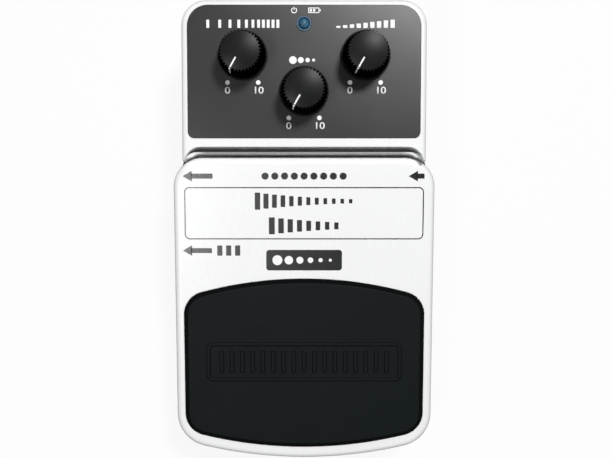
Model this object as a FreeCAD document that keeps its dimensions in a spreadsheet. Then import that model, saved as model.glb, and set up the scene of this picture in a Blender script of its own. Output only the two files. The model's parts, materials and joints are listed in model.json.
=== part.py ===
import FreeCAD, Part
import math
import os

import Sketcher
from FreeCAD import Placement, Rotation, Vector

# Analog delay pedal, in millimetres. X runs to the right, Y to the rear, Z up.
# The origin lies on the floor, at the middle of the pedal's outline.

DOC = FreeCAD.newDocument("delay_pedal")

# Driving sizes. Lengths are in millimetres and angles in degrees.
SIZES = {
    # How far a cutting shape reaches past what it cuts
    "overshoot": "2",
    # Floor mat and base plate
    "mat_thickness": "1.0",
    "mat_margin": "1.6",
    "plate_thickness": "1.8",
    "mat_hole_clearance": "0.3",
    # Housing shell
    "housing_width": "64",
    "housing_rear": "61.5",
    "housing_front": "57.2",
    "housing_front_radius": "113",
    "rear_corner_radius": "6.4",
    "front_corner_radius": "6.5",
    "housing_wall": "2.2",
    "front_deck_height": "19.5",
    "middle_deck_height": "24",
    "middle_deck_front": "18.9",
    "hinge_block_height": "30",
    "hinge_block_front": "3",
    "head_front": "23.5",
    "head_front_height": "40",
    "head_tilt": "4",
    "head_edge_radius": "1.3",
    # Horns at the head's sides, which reach forward around the treadle's rear corners
    "horn_reach": "3.5",
    "horn_inset": "0.5",
    "horn_corner_radius": "4.4",
    "horn_opening_radius": "0.7",
    # Thin ridge that stands between the head and the treadle
    "ridge_gap": "1.15",
    "ridge_thickness": "0.5",
    "ridge_side_thickness": "1.0",
    "ridge_height": "37.5",
    "ridge_corner_radius": "3.6",
    "ridge_inset": "0.05",
    "ridge_leg": "8",
    "ridge_clearance": "0.6",
    # Control panel in its recess
    "panel_side_margin": "1.6",
    "panel_rear_margin": "1.45",
    "panel_front_margin": "2.25",
    "panel_rear_radius": "5.4",
    "panel_front_radius": "1.7",
    "panel_thickness": "0.75",
    "recess_depth": "0.8",
    "recess_clearance": "0.05",
    # Knobs and their pointers
    "knob_spread": "15.95",
    "outer_knob_row": "23.65",
    "middle_knob_row": "14.45",
    "knob_gap": "0.4",
    "knob_base_radius": "6.45",
    "knob_base_thickness": "1.0",
    "knob_foot_radius": "6.15",
    "knob_top_radius": "5.15",
    "knob_height": "11.5",
    "knob_dome_rise": "0.5",
    "knob_hollow_radius": "4.9",
    "knob_hollow_depth": "0.8",
    "knob_bore_depth": "9",
    "flute_count": "36",
    "flute_radius": "0.3",
    "flute_depth": "0.38",
    "pointer_width": "0.4",
    "pointer_start": "2",
    "pointer_depth": "0.6",
    "pointer_angle": "30",
    # Potentiometers and their board
    "shaft_radius": "3",
    "shaft_fit": "0.05",
    "shaft_flat": "2.25",
    "shaft_hole_clearance": "0.5",
    "shaft_end_gap": "0.4",
    "flat_start": "1.2",
    "pot_width": "9.8",
    "pot_depth": "11",
    "pot_height": "6.5",
    "pot_floor": "1.4",
    "bushing_wall": "0.9",
    "bushing_height": "1.7",
    "pot_board_drop": "10.9",
    "pot_board_front": "4.2",
    "pot_board_rear": "33.6",
    "pot_board_half_width": "28",
    "pot_screw_spread": "25",
    "pot_screw_front": "7",
    "pot_screw_rear": "30.8",
    "terminal_width": "0.8",
    "terminal_length": "1.6",
    "terminal_thickness": "0.3",
    "terminal_pitch": "2.5",
    # Lamp
    "lamp_row": "31.9",
    "lamp_radius": "1.5",
    "lamp_rise": "0.9",
    "lamp_flange_radius": "1.9",
    "lamp_flange_thickness": "1",
    "lamp_flange_drop": "4.2",
    "lamp_ring_wall": "0.35",
    "lamp_ring_rise": "0.35",
    "lamp_leg_width": "0.5",
    "lamp_leg_pitch": "2.54",
    "lamp_fit": "0.05",
    "spacer_wall": "0.6",
    # Circuit boards and screws
    "post_height": "4",
    "post_radius": "2.6",
    "board_thickness": "1.6",
    "board_half_width": "28.2",
    "board_front": "16.4",
    "board_rear": "57.5",
    "board_notch_clearance": "0.6",
    "post_spread": "25",
    "post_front": "13.2",
    "post_rear": "45",
    "small_screw_radius": "1.1",
    "small_screw_length": "5",
    "small_head_radius": "2.1",
    "small_head_height": "1.5",
    "pilot_clearance": "0.02",
    "screw_hole_clearance": "0.2",
    "base_screw_radius": "1.4",
    "base_screw_length": "9",
    "base_head_radius": "2.6",
    "base_head_height": "1.5",
    "base_boss_wall": "1.5",
    "base_boss_height": "12",
    "rear_screw_spread": "27.2",
    "rear_screw_row": "55",
    "front_screw_spread": "14",
    "front_screw_row": "51.3",
    # Sockets in the side walls
    "jack_width": "11.8",
    "jack_length": "27.6",
    "jack_end_wall": "1.7",
    "jack_wall_gap": "0.2",
    "main_jack_row": "16",
    "direct_jack_row": "4",
    "bushing_radius": "4.5",
    "bushing_fit": "0.15",
    "plug_radius": "3.175",
    "plug_clearance": "0.1",
    "washer_radius": "6.2",
    "washer_thickness": "0.6",
    "nut_radius": "6.35",
    "nut_thickness": "2",
    "bushing_end": "0.25",
    "contact_length": "11",
    "contact_width": "3",
    "contact_thickness": "0.4",
    "contact_gap": "0.05",
    "contact_start": "4",
    "contact_pitch": "12.4",
    # Power socket in the rear wall
    "power_place": "16",
    "power_width": "9",
    "power_depth": "11.6",
    "power_height": "11",
    "power_nose_radius": "4.9",
    "power_nose_fit": "0.15",
    "power_recess": "0.2",
    "power_mouth_radius": "3.15",
    "power_mouth_depth": "2",
    "power_bore_radius": "2.87",
    "power_bore_depth": "9",
    "power_pin_radius": "1.05",
    "power_contact_width": "2",
    "power_contact_length": "5",
    # Foot switch, its button, plunger and spring
    "switch_row": "13.6",
    "switch_width": "6",
    "switch_height": "3.8",
    "button_radius": "1.7",
    "button_fit": "0.08",
    "button_rise": "1.2",
    "button_depth": "0.7",
    "button_well_depth": "1.75",
    "plunger_radius": "2",
    "plunger_fit": "0.08",
    "plunger_foot_radius": "1.5",
    "collar_radius": "3.1",
    "collar_thickness": "1.2",
    "collar_gap": "0.3",
    "plunger_top_gap": "0.15",
    "guide_radius": "4",
    "guide_rise": "1.2",
    "plunger_spring_radius": "2.3",
    "plunger_spring_wire": "0.45",
    "plunger_spring_turns": "6",
    "spring_end_gap": "0.05",
    # Treadle. Its sizes run along its own sloping plane, from the hinge axis
    "hinge_row": "9",
    "hinge_height": "26.3",
    "treadle_slope": "7.33",
    "treadle_width": "70",
    "treadle_rear": "13",
    "treadle_front": "70.17",
    "treadle_front_radius": "118",
    "treadle_rear_corner": "7.8",
    "treadle_front_corner": "9.5",
    "treadle_top": "8.3",
    "treadle_plate": "2.6",
    "skirt_wall": "2",
    "skirt_bottom": "0.3",
    "rear_lip": "3.4",
    "ear_radius": "4.4",
    "ear_blend": "3",
    "ear_flat": "0.1",
    "treadle_edge_radius": "1.6",
    # Rubber pad in its recess
    "pad_half_width": "32.55",
    "pad_rear": "19.6",
    "pad_front": "66.6",
    "pad_rear_radius": "106",
    "pad_front_radius": "114",
    "pad_corner": "6.3",
    "pad_thickness": "2",
    "pad_recess": "1",
    "pad_fit": "0.1",
    "pad_edge_radius": "0.6",
    "frame_width": "53",
    "frame_depth": "10.8",
    "frame_place": "42.3",
    "frame_band": "1",
    "frame_rise": "0.3",
    "frame_corner": "1.8",
    "rib_count": "17",
    "rib_width": "1.1",
    "rib_pitch": "2.8",
    "rib_length": "6",
    # Hinge pins, their springs and plugs
    "pin_radius": "1.6",
    "pin_fit": "0.06",
    "pin_end": "0.3",
    "pin_collar_radius": "2.45",
    "pin_collar_thickness": "1.6",
    "pin_collar_gap": "0.1",
    "pin_tail_radius": "1.2",
    "pin_tail_length": "8.5",
    "pin_bore_radius": "2.6",
    "pin_plug_thickness": "2.4",
    "carrier_length": "16.8",
    "carrier_width": "8",
    "carrier_depth": "7.4",
    "pin_spring_radius": "1.9",
    "pin_spring_wire": "0.5",
    "pin_spring_turns": "7",
    # Return springs under the treadle
    "return_spread": "15",
    "return_radius": "3",
    "return_wire": "0.7",
    "return_turns": "3",
    "return_spigot_gap": "0.45",
    "return_spigot_height": "2",
    # Battery, its bay, snap and leads
    "bay_half_length": "27",
    "bay_rear": "20.5",
    "bay_front": "47.6",
    "bay_wall": "1.2",
    "bay_floor": "1.2",
    "battery_length": "46.4",
    "battery_width": "26.5",
    "battery_height": "17.5",
    "battery_gap": "0.2",
    "battery_edge": "1.5",
    "stud_height": "2.1",
    "stud_radius": "2.9",
    "cup_radius": "3.6",
    "stud_pitch": "12.7",
    "snap_thickness": "2.8",
    "snap_width": "24",
    "snap_height": "12",
    "snap_gap": "0.2",
    "stud_fit": "0.1",
    "lead_radius": "0.6",
    "lead_pitch": "2.4",
    "notch_width": "2.6",
    "notch_height": "5",
    # Ribbon cable between the boards
    "ribbon_width": "13",
    "ribbon_thickness": "0.7",
    "ribbon_row": "28.4",
    "ribbon_run": "4",
    "ribbon_bulge": "3.3",
    "header_width": "15",
    "header_depth": "3.4",
    "header_height": "3.2",
    # Components on the main board
    "chip_length": "9.6",
    "chip_width": "6.4",
    "chip_height": "3.3",
    "chip_standoff": "0.5",
    "chip_leg_width": "0.5",
    "chip_leg_reach": "0.7",
    "chip_leg_pitch": "2.54",
    "chip_column": "14",
    "chip_front_row": "28.5",
    "chip_row_pitch": "9.5",
    "can_radius": "2.5",
    "can_height": "7",
    "can_row": "35.5",
    "can_pitch": "6.4",
    "film_length": "7.2",
    "film_width": "2.5",
    "film_height": "6",
    "film_column": "23.6",
    "film_row": "25",
    "film_pitch": "4.2",
    "resistor_radius": "1.1",
    "resistor_length": "6.3",
    "resistor_pitch": "2.9",
    "resistor_start": "4.64",
    "resistor_column": "8.5",
    "trimmer_radius": "3",
    "trimmer_height": "4.2",
    "trimmer_slot": "0.7",
    "trimmer_slot_length": "4.2",
    "trimmer_slot_depth": "0.8",
    "trimmer_row": "52.6",
    "transistor_width": "4.4",
    "transistor_depth": "3.4",
    "transistor_height": "4.8",
    "transistor_pitch": "6.5",
    "transistor_column": "19.5",
}

# Places worked out from the driving sizes. A name in front of a formula is its cell's alias.
PLACES = {
    "rim_level": "=sizes.mat_thickness + sizes.plate_thickness",
    "board_under": "=rim_level + sizes.post_height",
    "board_level": "=board_under + sizes.board_thickness",
    "jack_level": "=board_level + sizes.jack_width / 2",
    "power_level": "=board_level + sizes.power_height / 2",
    "half_width": "=sizes.housing_width / 2",
    "inner_half": "=half_width - sizes.housing_wall",
    "head_length": "=(sizes.housing_rear - sizes.head_front) / cos(sizes.head_tilt)",
    "shell_height": "=sizes.head_front_height + head_length * sin(sizes.head_tilt) + sizes.housing_wall",
    "jack_outer": "=inner_half - sizes.jack_wall_gap",
    "jack_inner": "=jack_outer - sizes.jack_length",
    "nut_face": "=half_width + sizes.washer_thickness + sizes.nut_thickness",
    "bushing_face": "=nut_face + sizes.bushing_end",
    "socket_radius": "=sizes.plug_radius + sizes.plug_clearance",
    "power_face": "=sizes.housing_rear - sizes.power_recess",
    "power_back": "=sizes.housing_rear - sizes.housing_wall - sizes.jack_wall_gap",
    "treadle_half": "=sizes.treadle_width / 2",
    "treadle_under": "=sizes.treadle_top - sizes.treadle_plate",
    "slope_rise": "=tan(sizes.treadle_slope)",
    "deck_under": "=sizes.middle_deck_height - sizes.housing_wall",
    "bay_base": "=rim_level + sizes.bay_floor",
    "battery_base": "=bay_base + sizes.battery_gap",
    "battery_middle": "=battery_base + sizes.battery_height / 2",
    "bay_middle": "=(sizes.bay_rear + sizes.bay_front) / 2",
    "battery_start": "=-sizes.bay_half_length + 2 * sizes.battery_gap",
    "battery_end": "=battery_start + sizes.battery_length",
    "snap_start": "=battery_end + sizes.snap_gap",
    "lead_place": "=snap_start + sizes.snap_thickness / 2",
    "switch_top": "=board_level + sizes.switch_height",
    "button_top": "=switch_top + sizes.button_rise",
    "collar_top": "=deck_under - sizes.collar_gap",
    "collar_under": "=collar_top - sizes.collar_thickness",
    "lever": "=sizes.hinge_row + sizes.switch_row",
    "under_at_hinge": "=sizes.hinge_height + treadle_under / cos(sizes.treadle_slope)",
    "plunger_top": "=under_at_hinge - (lever + sizes.plunger_radius) * slope_rise - sizes.plunger_top_gap",
    "return_reach": "=sizes.return_radius + sizes.return_wire / 2",
    "return_top": "=under_at_hinge - (lever + return_reach) * slope_rise - sizes.spring_end_gap",
    "pin_plug_start": "=inner_half - sizes.carrier_length",
    "pin_plug_end": "=pin_plug_start + sizes.pin_plug_thickness",
    "pin_collar_end": "=inner_half - sizes.pin_collar_gap",
    "pin_collar_start": "=pin_collar_end - sizes.pin_collar_thickness",
    "pin_face": "=treadle_half - sizes.pin_end",
    "knob_top": "=sizes.knob_gap + sizes.knob_height",
    "dome_radius": "=(sizes.knob_top_radius ^ 2 + sizes.knob_dome_rise ^ 2) / (2 * sizes.knob_dome_rise)",
    "lamp_seat": "=-sizes.lamp_flange_drop",
    "pot_board_top": "=-sizes.pot_board_drop",
    "pot_board_under": "=pot_board_top - sizes.board_thickness",
    "pot_top": "=pot_board_top + sizes.pot_height",
    "pad_level": "=sizes.treadle_top - sizes.pad_recess",
    "pad_top": "=pad_level + sizes.pad_thickness",
}

TOLERANCE = 1e-4
HAIR = 1e-3
NUT_SIDES = 6
CHIP_LEGS = 4
FILM_ROWS = 4
RESISTOR_ROWS = 6
ARCS_A_TURN = 4
BEND_SHARE = 0.45
AXES = {
    "X": Rotation(Vector(0, 1, 0), 90),
    "Y": Rotation(Vector(1, 0, 0), -90),
    "Z": Rotation(),
}


def make_sheet(name, cells):
    """Fill a spreadsheet with one named cell to a row."""
    sheet = DOC.addObject("Spreadsheet::Sheet", name)
    for row, (alias, content) in enumerate(cells.items(), start=1):
        sheet.set("A%d" % row, alias)
        sheet.set("B%d" % row, content)
        sheet.setAlias("B%d" % row, alias)
    DOC.recompute()
    return sheet


SHEET = make_sheet("sizes", SIZES)
make_sheet("places", PLACES)


def read(expression):
    """Give the number that an expression on the two sheets stands for."""
    return float(SHEET.evalExpression(expression))


def bind(feature, properties):
    """Tie properties of a feature to expressions on the sheets."""
    for name, expression in properties.items():
        feature.setExpression(name, expression)


# Frames in which the pieces are modelled: where each starts, and its turn about X.
FRAMES = {
    "floor": ("0", "0", "0"),
    "head": ("sizes.head_front", "sizes.head_front_height", "sizes.head_tilt"),
    "treadle": ("sizes.hinge_row", "sizes.hinge_height", "sizes.treadle_slope"),
}


def set_place(feature, x, y, z, frame="floor", prefix="Placement", rotation=None):
    """Place a feature at a point of a frame, turned with the frame."""
    start_y, start_z, turn = FRAMES[frame]
    if frame == "floor":
        turned = Placement(Vector(), rotation or Rotation())
        setattr(feature, prefix, turned)
        bind(feature, {prefix + ".Base.x": x, prefix + ".Base.y": y, prefix + ".Base.z": z})
        return
    setattr(feature, prefix, Placement(Vector(), Rotation(Vector(1, 0, 0), read(turn))))
    bind(feature, {
        prefix + ".Base.x": x,
        prefix + ".Base.y": "%s + (%s) * cos(%s) - (%s) * sin(%s)" % (start_y, y, turn, z, turn),
        prefix + ".Base.z": "%s + (%s) * sin(%s) + (%s) * cos(%s)" % (start_z, y, turn, z, turn),
        prefix + ".Rotation.Angle": turn,
    })


def new_body(label, frame="floor", x="0", y="0", z="0"):
    """Start a sub-part, whose own origin lies at a point of a frame."""
    body = DOC.addObject("PartDesign::Body", label)
    body.Label = label
    set_place(body, x, y, z, frame)
    return body


def origin_feature(body, role):
    """Find a plane or axis of a body's own origin."""
    return next(item for item in body.Origin.OriginFeatures if item.Role == role)


def new_sketch(body, name, level="0", role="XY_Plane"):
    """Start a sketch on a plane of the body's origin, moved along its normal."""
    sketch = body.newObject("Sketcher::SketchObject", name)
    sketch.AttachmentSupport = [(origin_feature(body, role), "")]
    sketch.MapMode = "FlatFace"
    bind(sketch, {"AttachmentOffset.Base.z": level})
    return sketch


def fix_point(sketch, geometry, end, x, y):
    """Hold one point of a sketch at two expressions."""
    for kind, expression in (("DistanceX", x), ("DistanceY", y)):
        rule = Sketcher.Constraint(kind, -1, 1, geometry, end, read(expression))
        sketch.setExpression("Constraints[%d]" % sketch.addConstraint(rule), expression)


def fix_radius(sketch, geometry, radius):
    """Hold the radius of an arc or circle."""
    rule = Sketcher.Constraint("Radius", geometry, read(radius))
    sketch.setExpression("Constraints[%d]" % sketch.addConstraint(rule), radius)


def arc_between(start, end, radius):
    """Make the short arc that bulges to the right of the way from start to end."""
    chord = end - start
    half = chord.Length / 2
    rise = radius - math.sqrt(radius ** 2 - half ** 2)
    outward = Vector(chord.y, -chord.x, 0).normalize()
    return Part.Arc(start, (start + end) * 0.5 + outward * rise, end)


def draw(sketch, steps):
    """Add a closed outline, run anticlockwise.

    A step is a start point and, where an arc leads to the next step, its radius.
    """
    first = sketch.GeometryCount
    points = [Vector(read(step[0]), read(step[1]), 0) for step in steps]
    following = points[1:] + points[:1]
    for step, start, end in zip(steps, points, following):
        if len(step) == 3:
            sketch.addGeometry(arc_between(start, end, read(step[2])), False)
        else:
            sketch.addGeometry(Part.LineSegment(start, end), False)
    for number, step in enumerate(steps):
        here = first + number
        after = first + (number + 1) % len(steps)
        sketch.addConstraint(Sketcher.Constraint("Coincident", here, 2, after, 1))
        fix_point(sketch, here, 1, step[0], step[1])
        if len(step) == 3:
            fix_radius(sketch, here, step[2])
    return sketch


def draw_circle(sketch, x, y, radius):
    """Add a circle held at two expressions."""
    centre = Vector(read(x), read(y), 0)
    number = sketch.addGeometry(Part.Circle(centre, Vector(0, 0, 1), read(radius)), False)
    fix_point(sketch, number, 3, x, y)
    fix_radius(sketch, number, radius)
    return sketch


def draw_rectangle(sketch, left, right, front, rear):
    """Add a rectangle by its four sides."""
    return draw(sketch, [(left, front), (right, front), (right, rear), (left, rear)])


def draw_rounded(sketch, half, front, rear, front_radius, rear_radius):
    """Add a rectangle about the middle line, with rounded corners."""
    return draw(sketch, [
        ("-(%s) + %s" % (half, front_radius), front),
        ("%s - %s" % (half, front_radius), front, front_radius),
        (half, "%s + %s" % (front, front_radius)),
        (half, "%s - %s" % (rear, rear_radius), rear_radius),
        ("%s - %s" % (half, rear_radius), rear),
        ("-(%s) + %s" % (half, rear_radius), rear, rear_radius),
        ("-(%s)" % half, "%s - %s" % (rear, rear_radius)),
        ("-(%s)" % half, "%s + %s" % (front, front_radius), front_radius),
    ])


def bow(half, radius):
    """Give how far the ends of a bowed edge fall back from its middle."""
    return "(%s - sqrt((%s)^2 - (%s)^2))" % (radius, radius, half)


def draw_bowed(sketch, half, front, rear, front_radius, rear_radius=None):
    """Add an outline with straight sides and a bowed front, and a bowed rear if asked."""
    front_corner = "%s + %s" % (front, bow(half, front_radius))
    steps = [("-(%s)" % half, front_corner, front_radius), (half, front_corner)]
    if rear_radius is None:
        steps += [(half, rear), ("-(%s)" % half, rear)]
    else:
        rear_corner = "%s - %s" % (rear, bow(half, rear_radius))
        steps += [(half, rear_corner, rear_radius), ("-(%s)" % half, rear_corner)]
    return draw(sketch, steps)


def grow(body, sketch, length, back=False, both=False):
    """Pad a sketch along its normal, against it or to both sides."""
    feature = body.newObject("PartDesign::Pad", sketch.Name + "_pad")
    feature.Profile = sketch
    feature.Reversed = back
    if both:
        feature.SideType = "Symmetric"
    bind(feature, {"Length": length})
    return feature


def turn(body, sketch):
    """Turn a sketch once round its own upright axis."""
    feature = body.newObject("PartDesign::Revolution", sketch.Name + "_turned")
    feature.Profile = sketch
    feature.ReferenceAxis = (sketch, ["V_Axis"])
    feature.Angle = 360
    return feature


def cut(body, sketch, length=None, ahead=False, both=False):
    """Pocket a sketch against its normal, along it or to both sides, and see that it cuts."""
    DOC.recompute()
    before = body.Shape.Volume
    feature = body.newObject("PartDesign::Pocket", sketch.Name + "_cut")
    feature.Profile = sketch
    feature.Reversed = ahead
    if both:
        feature.SideType = "Symmetric"
    if length is None:
        feature.Type = "ThroughAll"
    else:
        bind(feature, {"Length": length})
    DOC.recompute()
    if body.Shape.Volume > before - TOLERANCE:
        raise RuntimeError("%s cuts nothing" % feature.Label)
    return feature


def primitive(body, kind, name, sizes, place, axis="Z", frame="floor"):
    """Add or take away a simple solid, its sizes and place tied to the sheets."""
    feature = body.newObject("PartDesign::" + kind, name)
    bind(feature, sizes)
    set_place(feature, *place, frame=frame, rotation=AXES[axis])
    return feature


def rod(body, name, radius, length, place, axis="Z", frame="floor"):
    """Add a cylinder."""
    return primitive(body, "AdditiveCylinder", name, {"Radius": radius, "Height": length},
                     place, axis, frame)


def bore(body, name, radius, length, place, axis="Z", frame="floor"):
    """Take away a cylinder."""
    return primitive(body, "SubtractiveCylinder", name, {"Radius": radius, "Height": length},
                     place, axis, frame)


def block(body, name, size, place, frame="floor"):
    """Add a box by its size and its corner of least X, Y and Z."""
    return primitive(body, "AdditiveBox", name,
                     {"Length": size[0], "Width": size[1], "Height": size[2]}, place, "Z", frame)


def slot(body, name, size, place, frame="floor"):
    """Take away a box by its size and its corner of least X, Y and Z."""
    return primitive(body, "SubtractiveBox", name,
                     {"Length": size[0], "Width": size[1], "Height": size[2]}, place, "Z", frame)


def near(first, second):
    """Tell whether two numbers agree within a hair."""
    return abs(first - second) < HAIR


def upright_at(corners):
    """Make a test for upright edges that stand at one of some corners."""
    wanted = [(read(x), read(y)) for x, y in corners]

    def test(edge):
        ends = [vertex.Point for vertex in edge.Vertexes]
        if len(ends) != 2 or not near(ends[0].x, ends[1].x) or not near(ends[0].y, ends[1].y):
            return False
        return any(near(ends[0].x, x) and near(ends[0].y, y) for x, y in wanted)
    return test


def crosswise_at(corners):
    """Make a test for edges along X that lie at one of some pairs of Y and Z."""
    wanted = [(read(y), read(z)) for y, z in corners]

    def test(edge):
        ends = [vertex.Point for vertex in edge.Vertexes]
        if len(ends) != 2 or not near(ends[0].y, ends[1].y) or not near(ends[0].z, ends[1].z):
            return False
        return any(near(ends[0].y, y) and near(ends[0].z, z) for y, z in wanted)
    return test


def level_at(height):
    """Make a test for edges that lie all along at one height."""
    wanted = read(height)

    def test(edge):
        box = edge.BoundBox
        return near(box.ZMin, wanted) and near(box.ZMax, wanted)
    return test


def rim_at(body, height):
    """Make a test for the edges around the outside of a body's level face."""
    DOC.recompute()
    wanted = read(height)
    rims = [edge for face in body.Tip.Shape.Faces
            if near(face.BoundBox.ZMin, wanted) and near(face.BoundBox.ZMax, wanted)
            for edge in face.OuterWire.Edges]

    def test(edge):
        return any(edge.isSame(rim) for rim in rims)
    return test


def round_edges(body, name, radius, test):
    """Fillet the edges of a body that a test picks, in the body's own frame."""
    DOC.recompute()
    base = body.Tip
    chosen = ["Edge%d" % (number + 1) for number, edge in enumerate(base.Shape.Edges) if test(edge)]
    if not chosen:
        raise RuntimeError("%s finds no edge" % name)
    feature = body.newObject("PartDesign::Fillet", name)
    feature.Base = (base, chosen)
    bind(feature, {"Radius": radius})
    return feature


def both_sides(across, along):
    """Give a pair of points, one each side of the middle line."""
    return [("-(%s)" % across, along), (across, along)]


BASE_SCREWS = (both_sides("sizes.rear_screw_spread", "sizes.rear_screw_row")
               + both_sides("sizes.front_screw_spread", "-sizes.front_screw_row"))
POSTS = (both_sides("sizes.post_spread", "sizes.post_rear")
         + both_sides("sizes.post_spread", "-sizes.post_front"))
POT_SCREWS = (both_sides("sizes.pot_screw_spread", "sizes.pot_screw_rear")
              + both_sides("sizes.pot_screw_spread", "sizes.pot_screw_front"))
KNOBS = {
    "left": ("-sizes.knob_spread", "sizes.outer_knob_row"),
    "middle": ("0", "sizes.middle_knob_row"),
    "right": ("sizes.knob_spread", "sizes.outer_knob_row"),
}
JACKS = {
    "input_jack": (1, "sizes.main_jack_row"),
    "output_jack": (-1, "sizes.main_jack_row"),
    "direct_jack": (-1, "-sizes.direct_jack_row"),
}


def shell_corners(half, front, rear, front_radius):
    """List the front and the rear corners of a bowed outline."""
    front_corner = "%s + %s" % (front, bow(half, front_radius))
    return both_sides(half, front_corner), both_sides(half, rear)


# Floor mat and base plate

def make_rubber_mat():
    body = new_body("rubber_mat")
    half = "(places.half_width - sizes.mat_margin)"
    front = "(-sizes.housing_front + sizes.mat_margin)"
    rear = "(sizes.housing_rear - sizes.mat_margin)"
    radius = "(sizes.housing_front_radius - sizes.mat_margin)"
    grow(body, draw_bowed(new_sketch(body, "mat_outline"), half, front, rear, radius),
         "sizes.mat_thickness")
    fronts, rears = shell_corners(half, front, rear, radius)
    round_edges(body, "mat_front_corners", "sizes.front_corner_radius - sizes.mat_margin",
                upright_at(fronts))
    round_edges(body, "mat_rear_corners", "sizes.rear_corner_radius - sizes.mat_margin",
                upright_at(rears))
    for x, y in BASE_SCREWS:
        bore(body, "mat_hole", "sizes.base_head_radius + sizes.mat_hole_clearance",
             "sizes.mat_thickness", (x, y, "0"))


def make_base_plate():
    body = new_body("base_plate")
    half, front, rear = "places.half_width", "-sizes.housing_front", "sizes.housing_rear"
    radius = "sizes.housing_front_radius"
    grow(body, draw_bowed(new_sketch(body, "plate_outline", "sizes.mat_thickness"),
                          half, front, rear, radius), "sizes.plate_thickness")
    fronts, rears = shell_corners(half, front, rear, radius)
    round_edges(body, "plate_front_corners", "sizes.front_corner_radius", upright_at(fronts))
    round_edges(body, "plate_rear_corners", "sizes.rear_corner_radius", upright_at(rears))
    for x, y in POSTS:
        rod(body, "board_post", "sizes.post_radius", "sizes.post_height", (x, y, "places.rim_level"))
        bore(body, "post_pilot", "sizes.small_screw_radius + sizes.pilot_clearance",
             "sizes.post_height", (x, y, "places.rim_level"))
    hole = "sizes.base_screw_radius + sizes.screw_hole_clearance"
    for x, y in BASE_SCREWS:
        bore(body, "plate_hole", hole, "sizes.plate_thickness", (x, y, "sizes.mat_thickness"))
        primitive(body, "SubtractiveCone", "plate_countersink", {
            "Radius1": "sizes.base_head_radius + sizes.screw_hole_clearance",
            "Radius2": hole,
            "Height": "sizes.base_head_height",
        }, (x, y, "sizes.mat_thickness"))


def make_base_screws():
    body = new_body("base_screws")
    for x, y in BASE_SCREWS:
        rod(body, "screw_shank", "sizes.base_screw_radius", "sizes.base_screw_length",
            (x, y, "sizes.mat_thickness"))
        primitive(body, "AdditiveCone", "screw_head", {
            "Radius1": "sizes.base_head_radius",
            "Radius2": "sizes.base_screw_radius",
            "Height": "sizes.base_head_height",
        }, (x, y, "sizes.mat_thickness"))


def make_small_screws(label, frame, places, head_level, down):
    """Make a set of round-headed screws whose heads rest on one level."""
    body = new_body(label, frame)
    reach = "sizes.board_thickness + sizes.small_screw_length - sizes.small_head_height"
    for x, y in places:
        if down:
            rod(body, "screw_head", "sizes.small_head_radius", "sizes.small_head_height",
                (x, y, head_level))
            rod(body, "screw_shank", "sizes.small_screw_radius", reach,
                (x, y, "%s - (%s)" % (head_level, reach)))
        else:
            rod(body, "screw_head", "sizes.small_head_radius", "sizes.small_head_height",
                (x, y, "%s - sizes.small_head_height" % head_level))
            rod(body, "screw_shank", "sizes.small_screw_radius", reach, (x, y, head_level))


# Housing

def make_housing():
    body = new_body("housing")
    grow_shell(body)
    add_ridge(body)
    sink_panel_recess(body)
    add_inner_bosses(body)
    add_battery_bay(body)
    add_hinge_carriers(body)
    add_deck_seats(body)
    open_sockets(body)


def grow_shell(body):
    """Raise the outline, cut its stepped side profile, round it and hollow it from below."""
    half, front, rear = "places.half_width", "-sizes.housing_front", "sizes.housing_rear"
    radius = "sizes.housing_front_radius"
    grow(body, draw_bowed(new_sketch(body, "shell_outline", "places.rim_level"),
                          half, front, rear, radius), "places.shell_height - places.rim_level")
    profile = new_sketch(body, "side_profile", role="YZ_Plane")
    ahead = "-sizes.housing_front - sizes.overshoot"
    behind = "sizes.housing_rear + sizes.overshoot"
    above = "places.shell_height + sizes.overshoot"
    draw(profile, [
        (ahead, "sizes.front_deck_height"),
        ("-sizes.middle_deck_front", "sizes.front_deck_height"),
        ("-sizes.middle_deck_front", "sizes.middle_deck_height"),
        ("sizes.hinge_block_front", "sizes.middle_deck_height"),
        ("sizes.hinge_block_front", "sizes.hinge_block_height"),
        ("sizes.head_front", "sizes.hinge_block_height"),
        ("sizes.head_front", "sizes.head_front_height"),
        (behind, "sizes.head_front_height + (%s - sizes.head_front) * tan(sizes.head_tilt)" % behind),
        (behind, above),
        (ahead, above),
    ])
    cut(body, profile, both=True)
    fronts, rears = shell_corners(half, front, rear, radius)
    round_edges(body, "shell_front_corners", "sizes.front_corner_radius", upright_at(fronts))
    round_edges(body, "shell_rear_corners", "sizes.rear_corner_radius", upright_at(rears))
    DOC.recompute()
    base = body.Tip
    rim = read("places.rim_level")
    walls = body.newObject("PartDesign::Thickness", "shell_walls")
    walls.Base = (base, ["Face%d" % (number + 1) for number, face in enumerate(base.Shape.Faces)
                         if near(face.BoundBox.ZMax, rim)])
    walls.Join = "Intersection"
    walls.Reversed = True
    bind(walls, {"Value": "sizes.housing_wall"})
    add_horns(body)
    round_edges(body, "head_edges", "sizes.head_edge_radius", on_head_top)


def add_horns(body):
    """Lengthen the head's sides forward into two horns that curve round the treadle's corners."""
    half, level = "places.half_width", "sizes.hinge_block_height"
    front, rear = "(sizes.head_front - sizes.horn_reach)", "sizes.head_front"
    ahead = "(%s - sizes.overshoot)" % front
    height = "sizes.head_front_height - sizes.hinge_block_height"
    block = new_sketch(body, "horn_block", level)
    grow(body, draw_rectangle(block, "-" + half, half, front, rear), height)
    above = "sizes.head_front_height + sizes.overshoot"
    slope = new_sketch(body, "horn_slope", role="YZ_Plane")
    draw(slope, [
        (ahead, "sizes.head_front_height + (%s - %s) * tan(sizes.head_tilt)" % (ahead, rear)),
        (rear, "sizes.head_front_height"),
        (rear, above),
        (ahead, above),
    ])
    cut(body, slope, both=True)
    between = new_sketch(body, "between_horns", level)
    draw_rounded(between, "(%s - sizes.horn_inset)" % half, ahead, rear,
                 "sizes.horn_opening_radius", "sizes.horn_corner_radius")
    cut(body, between, height + " + sizes.overshoot", ahead=True)


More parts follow.
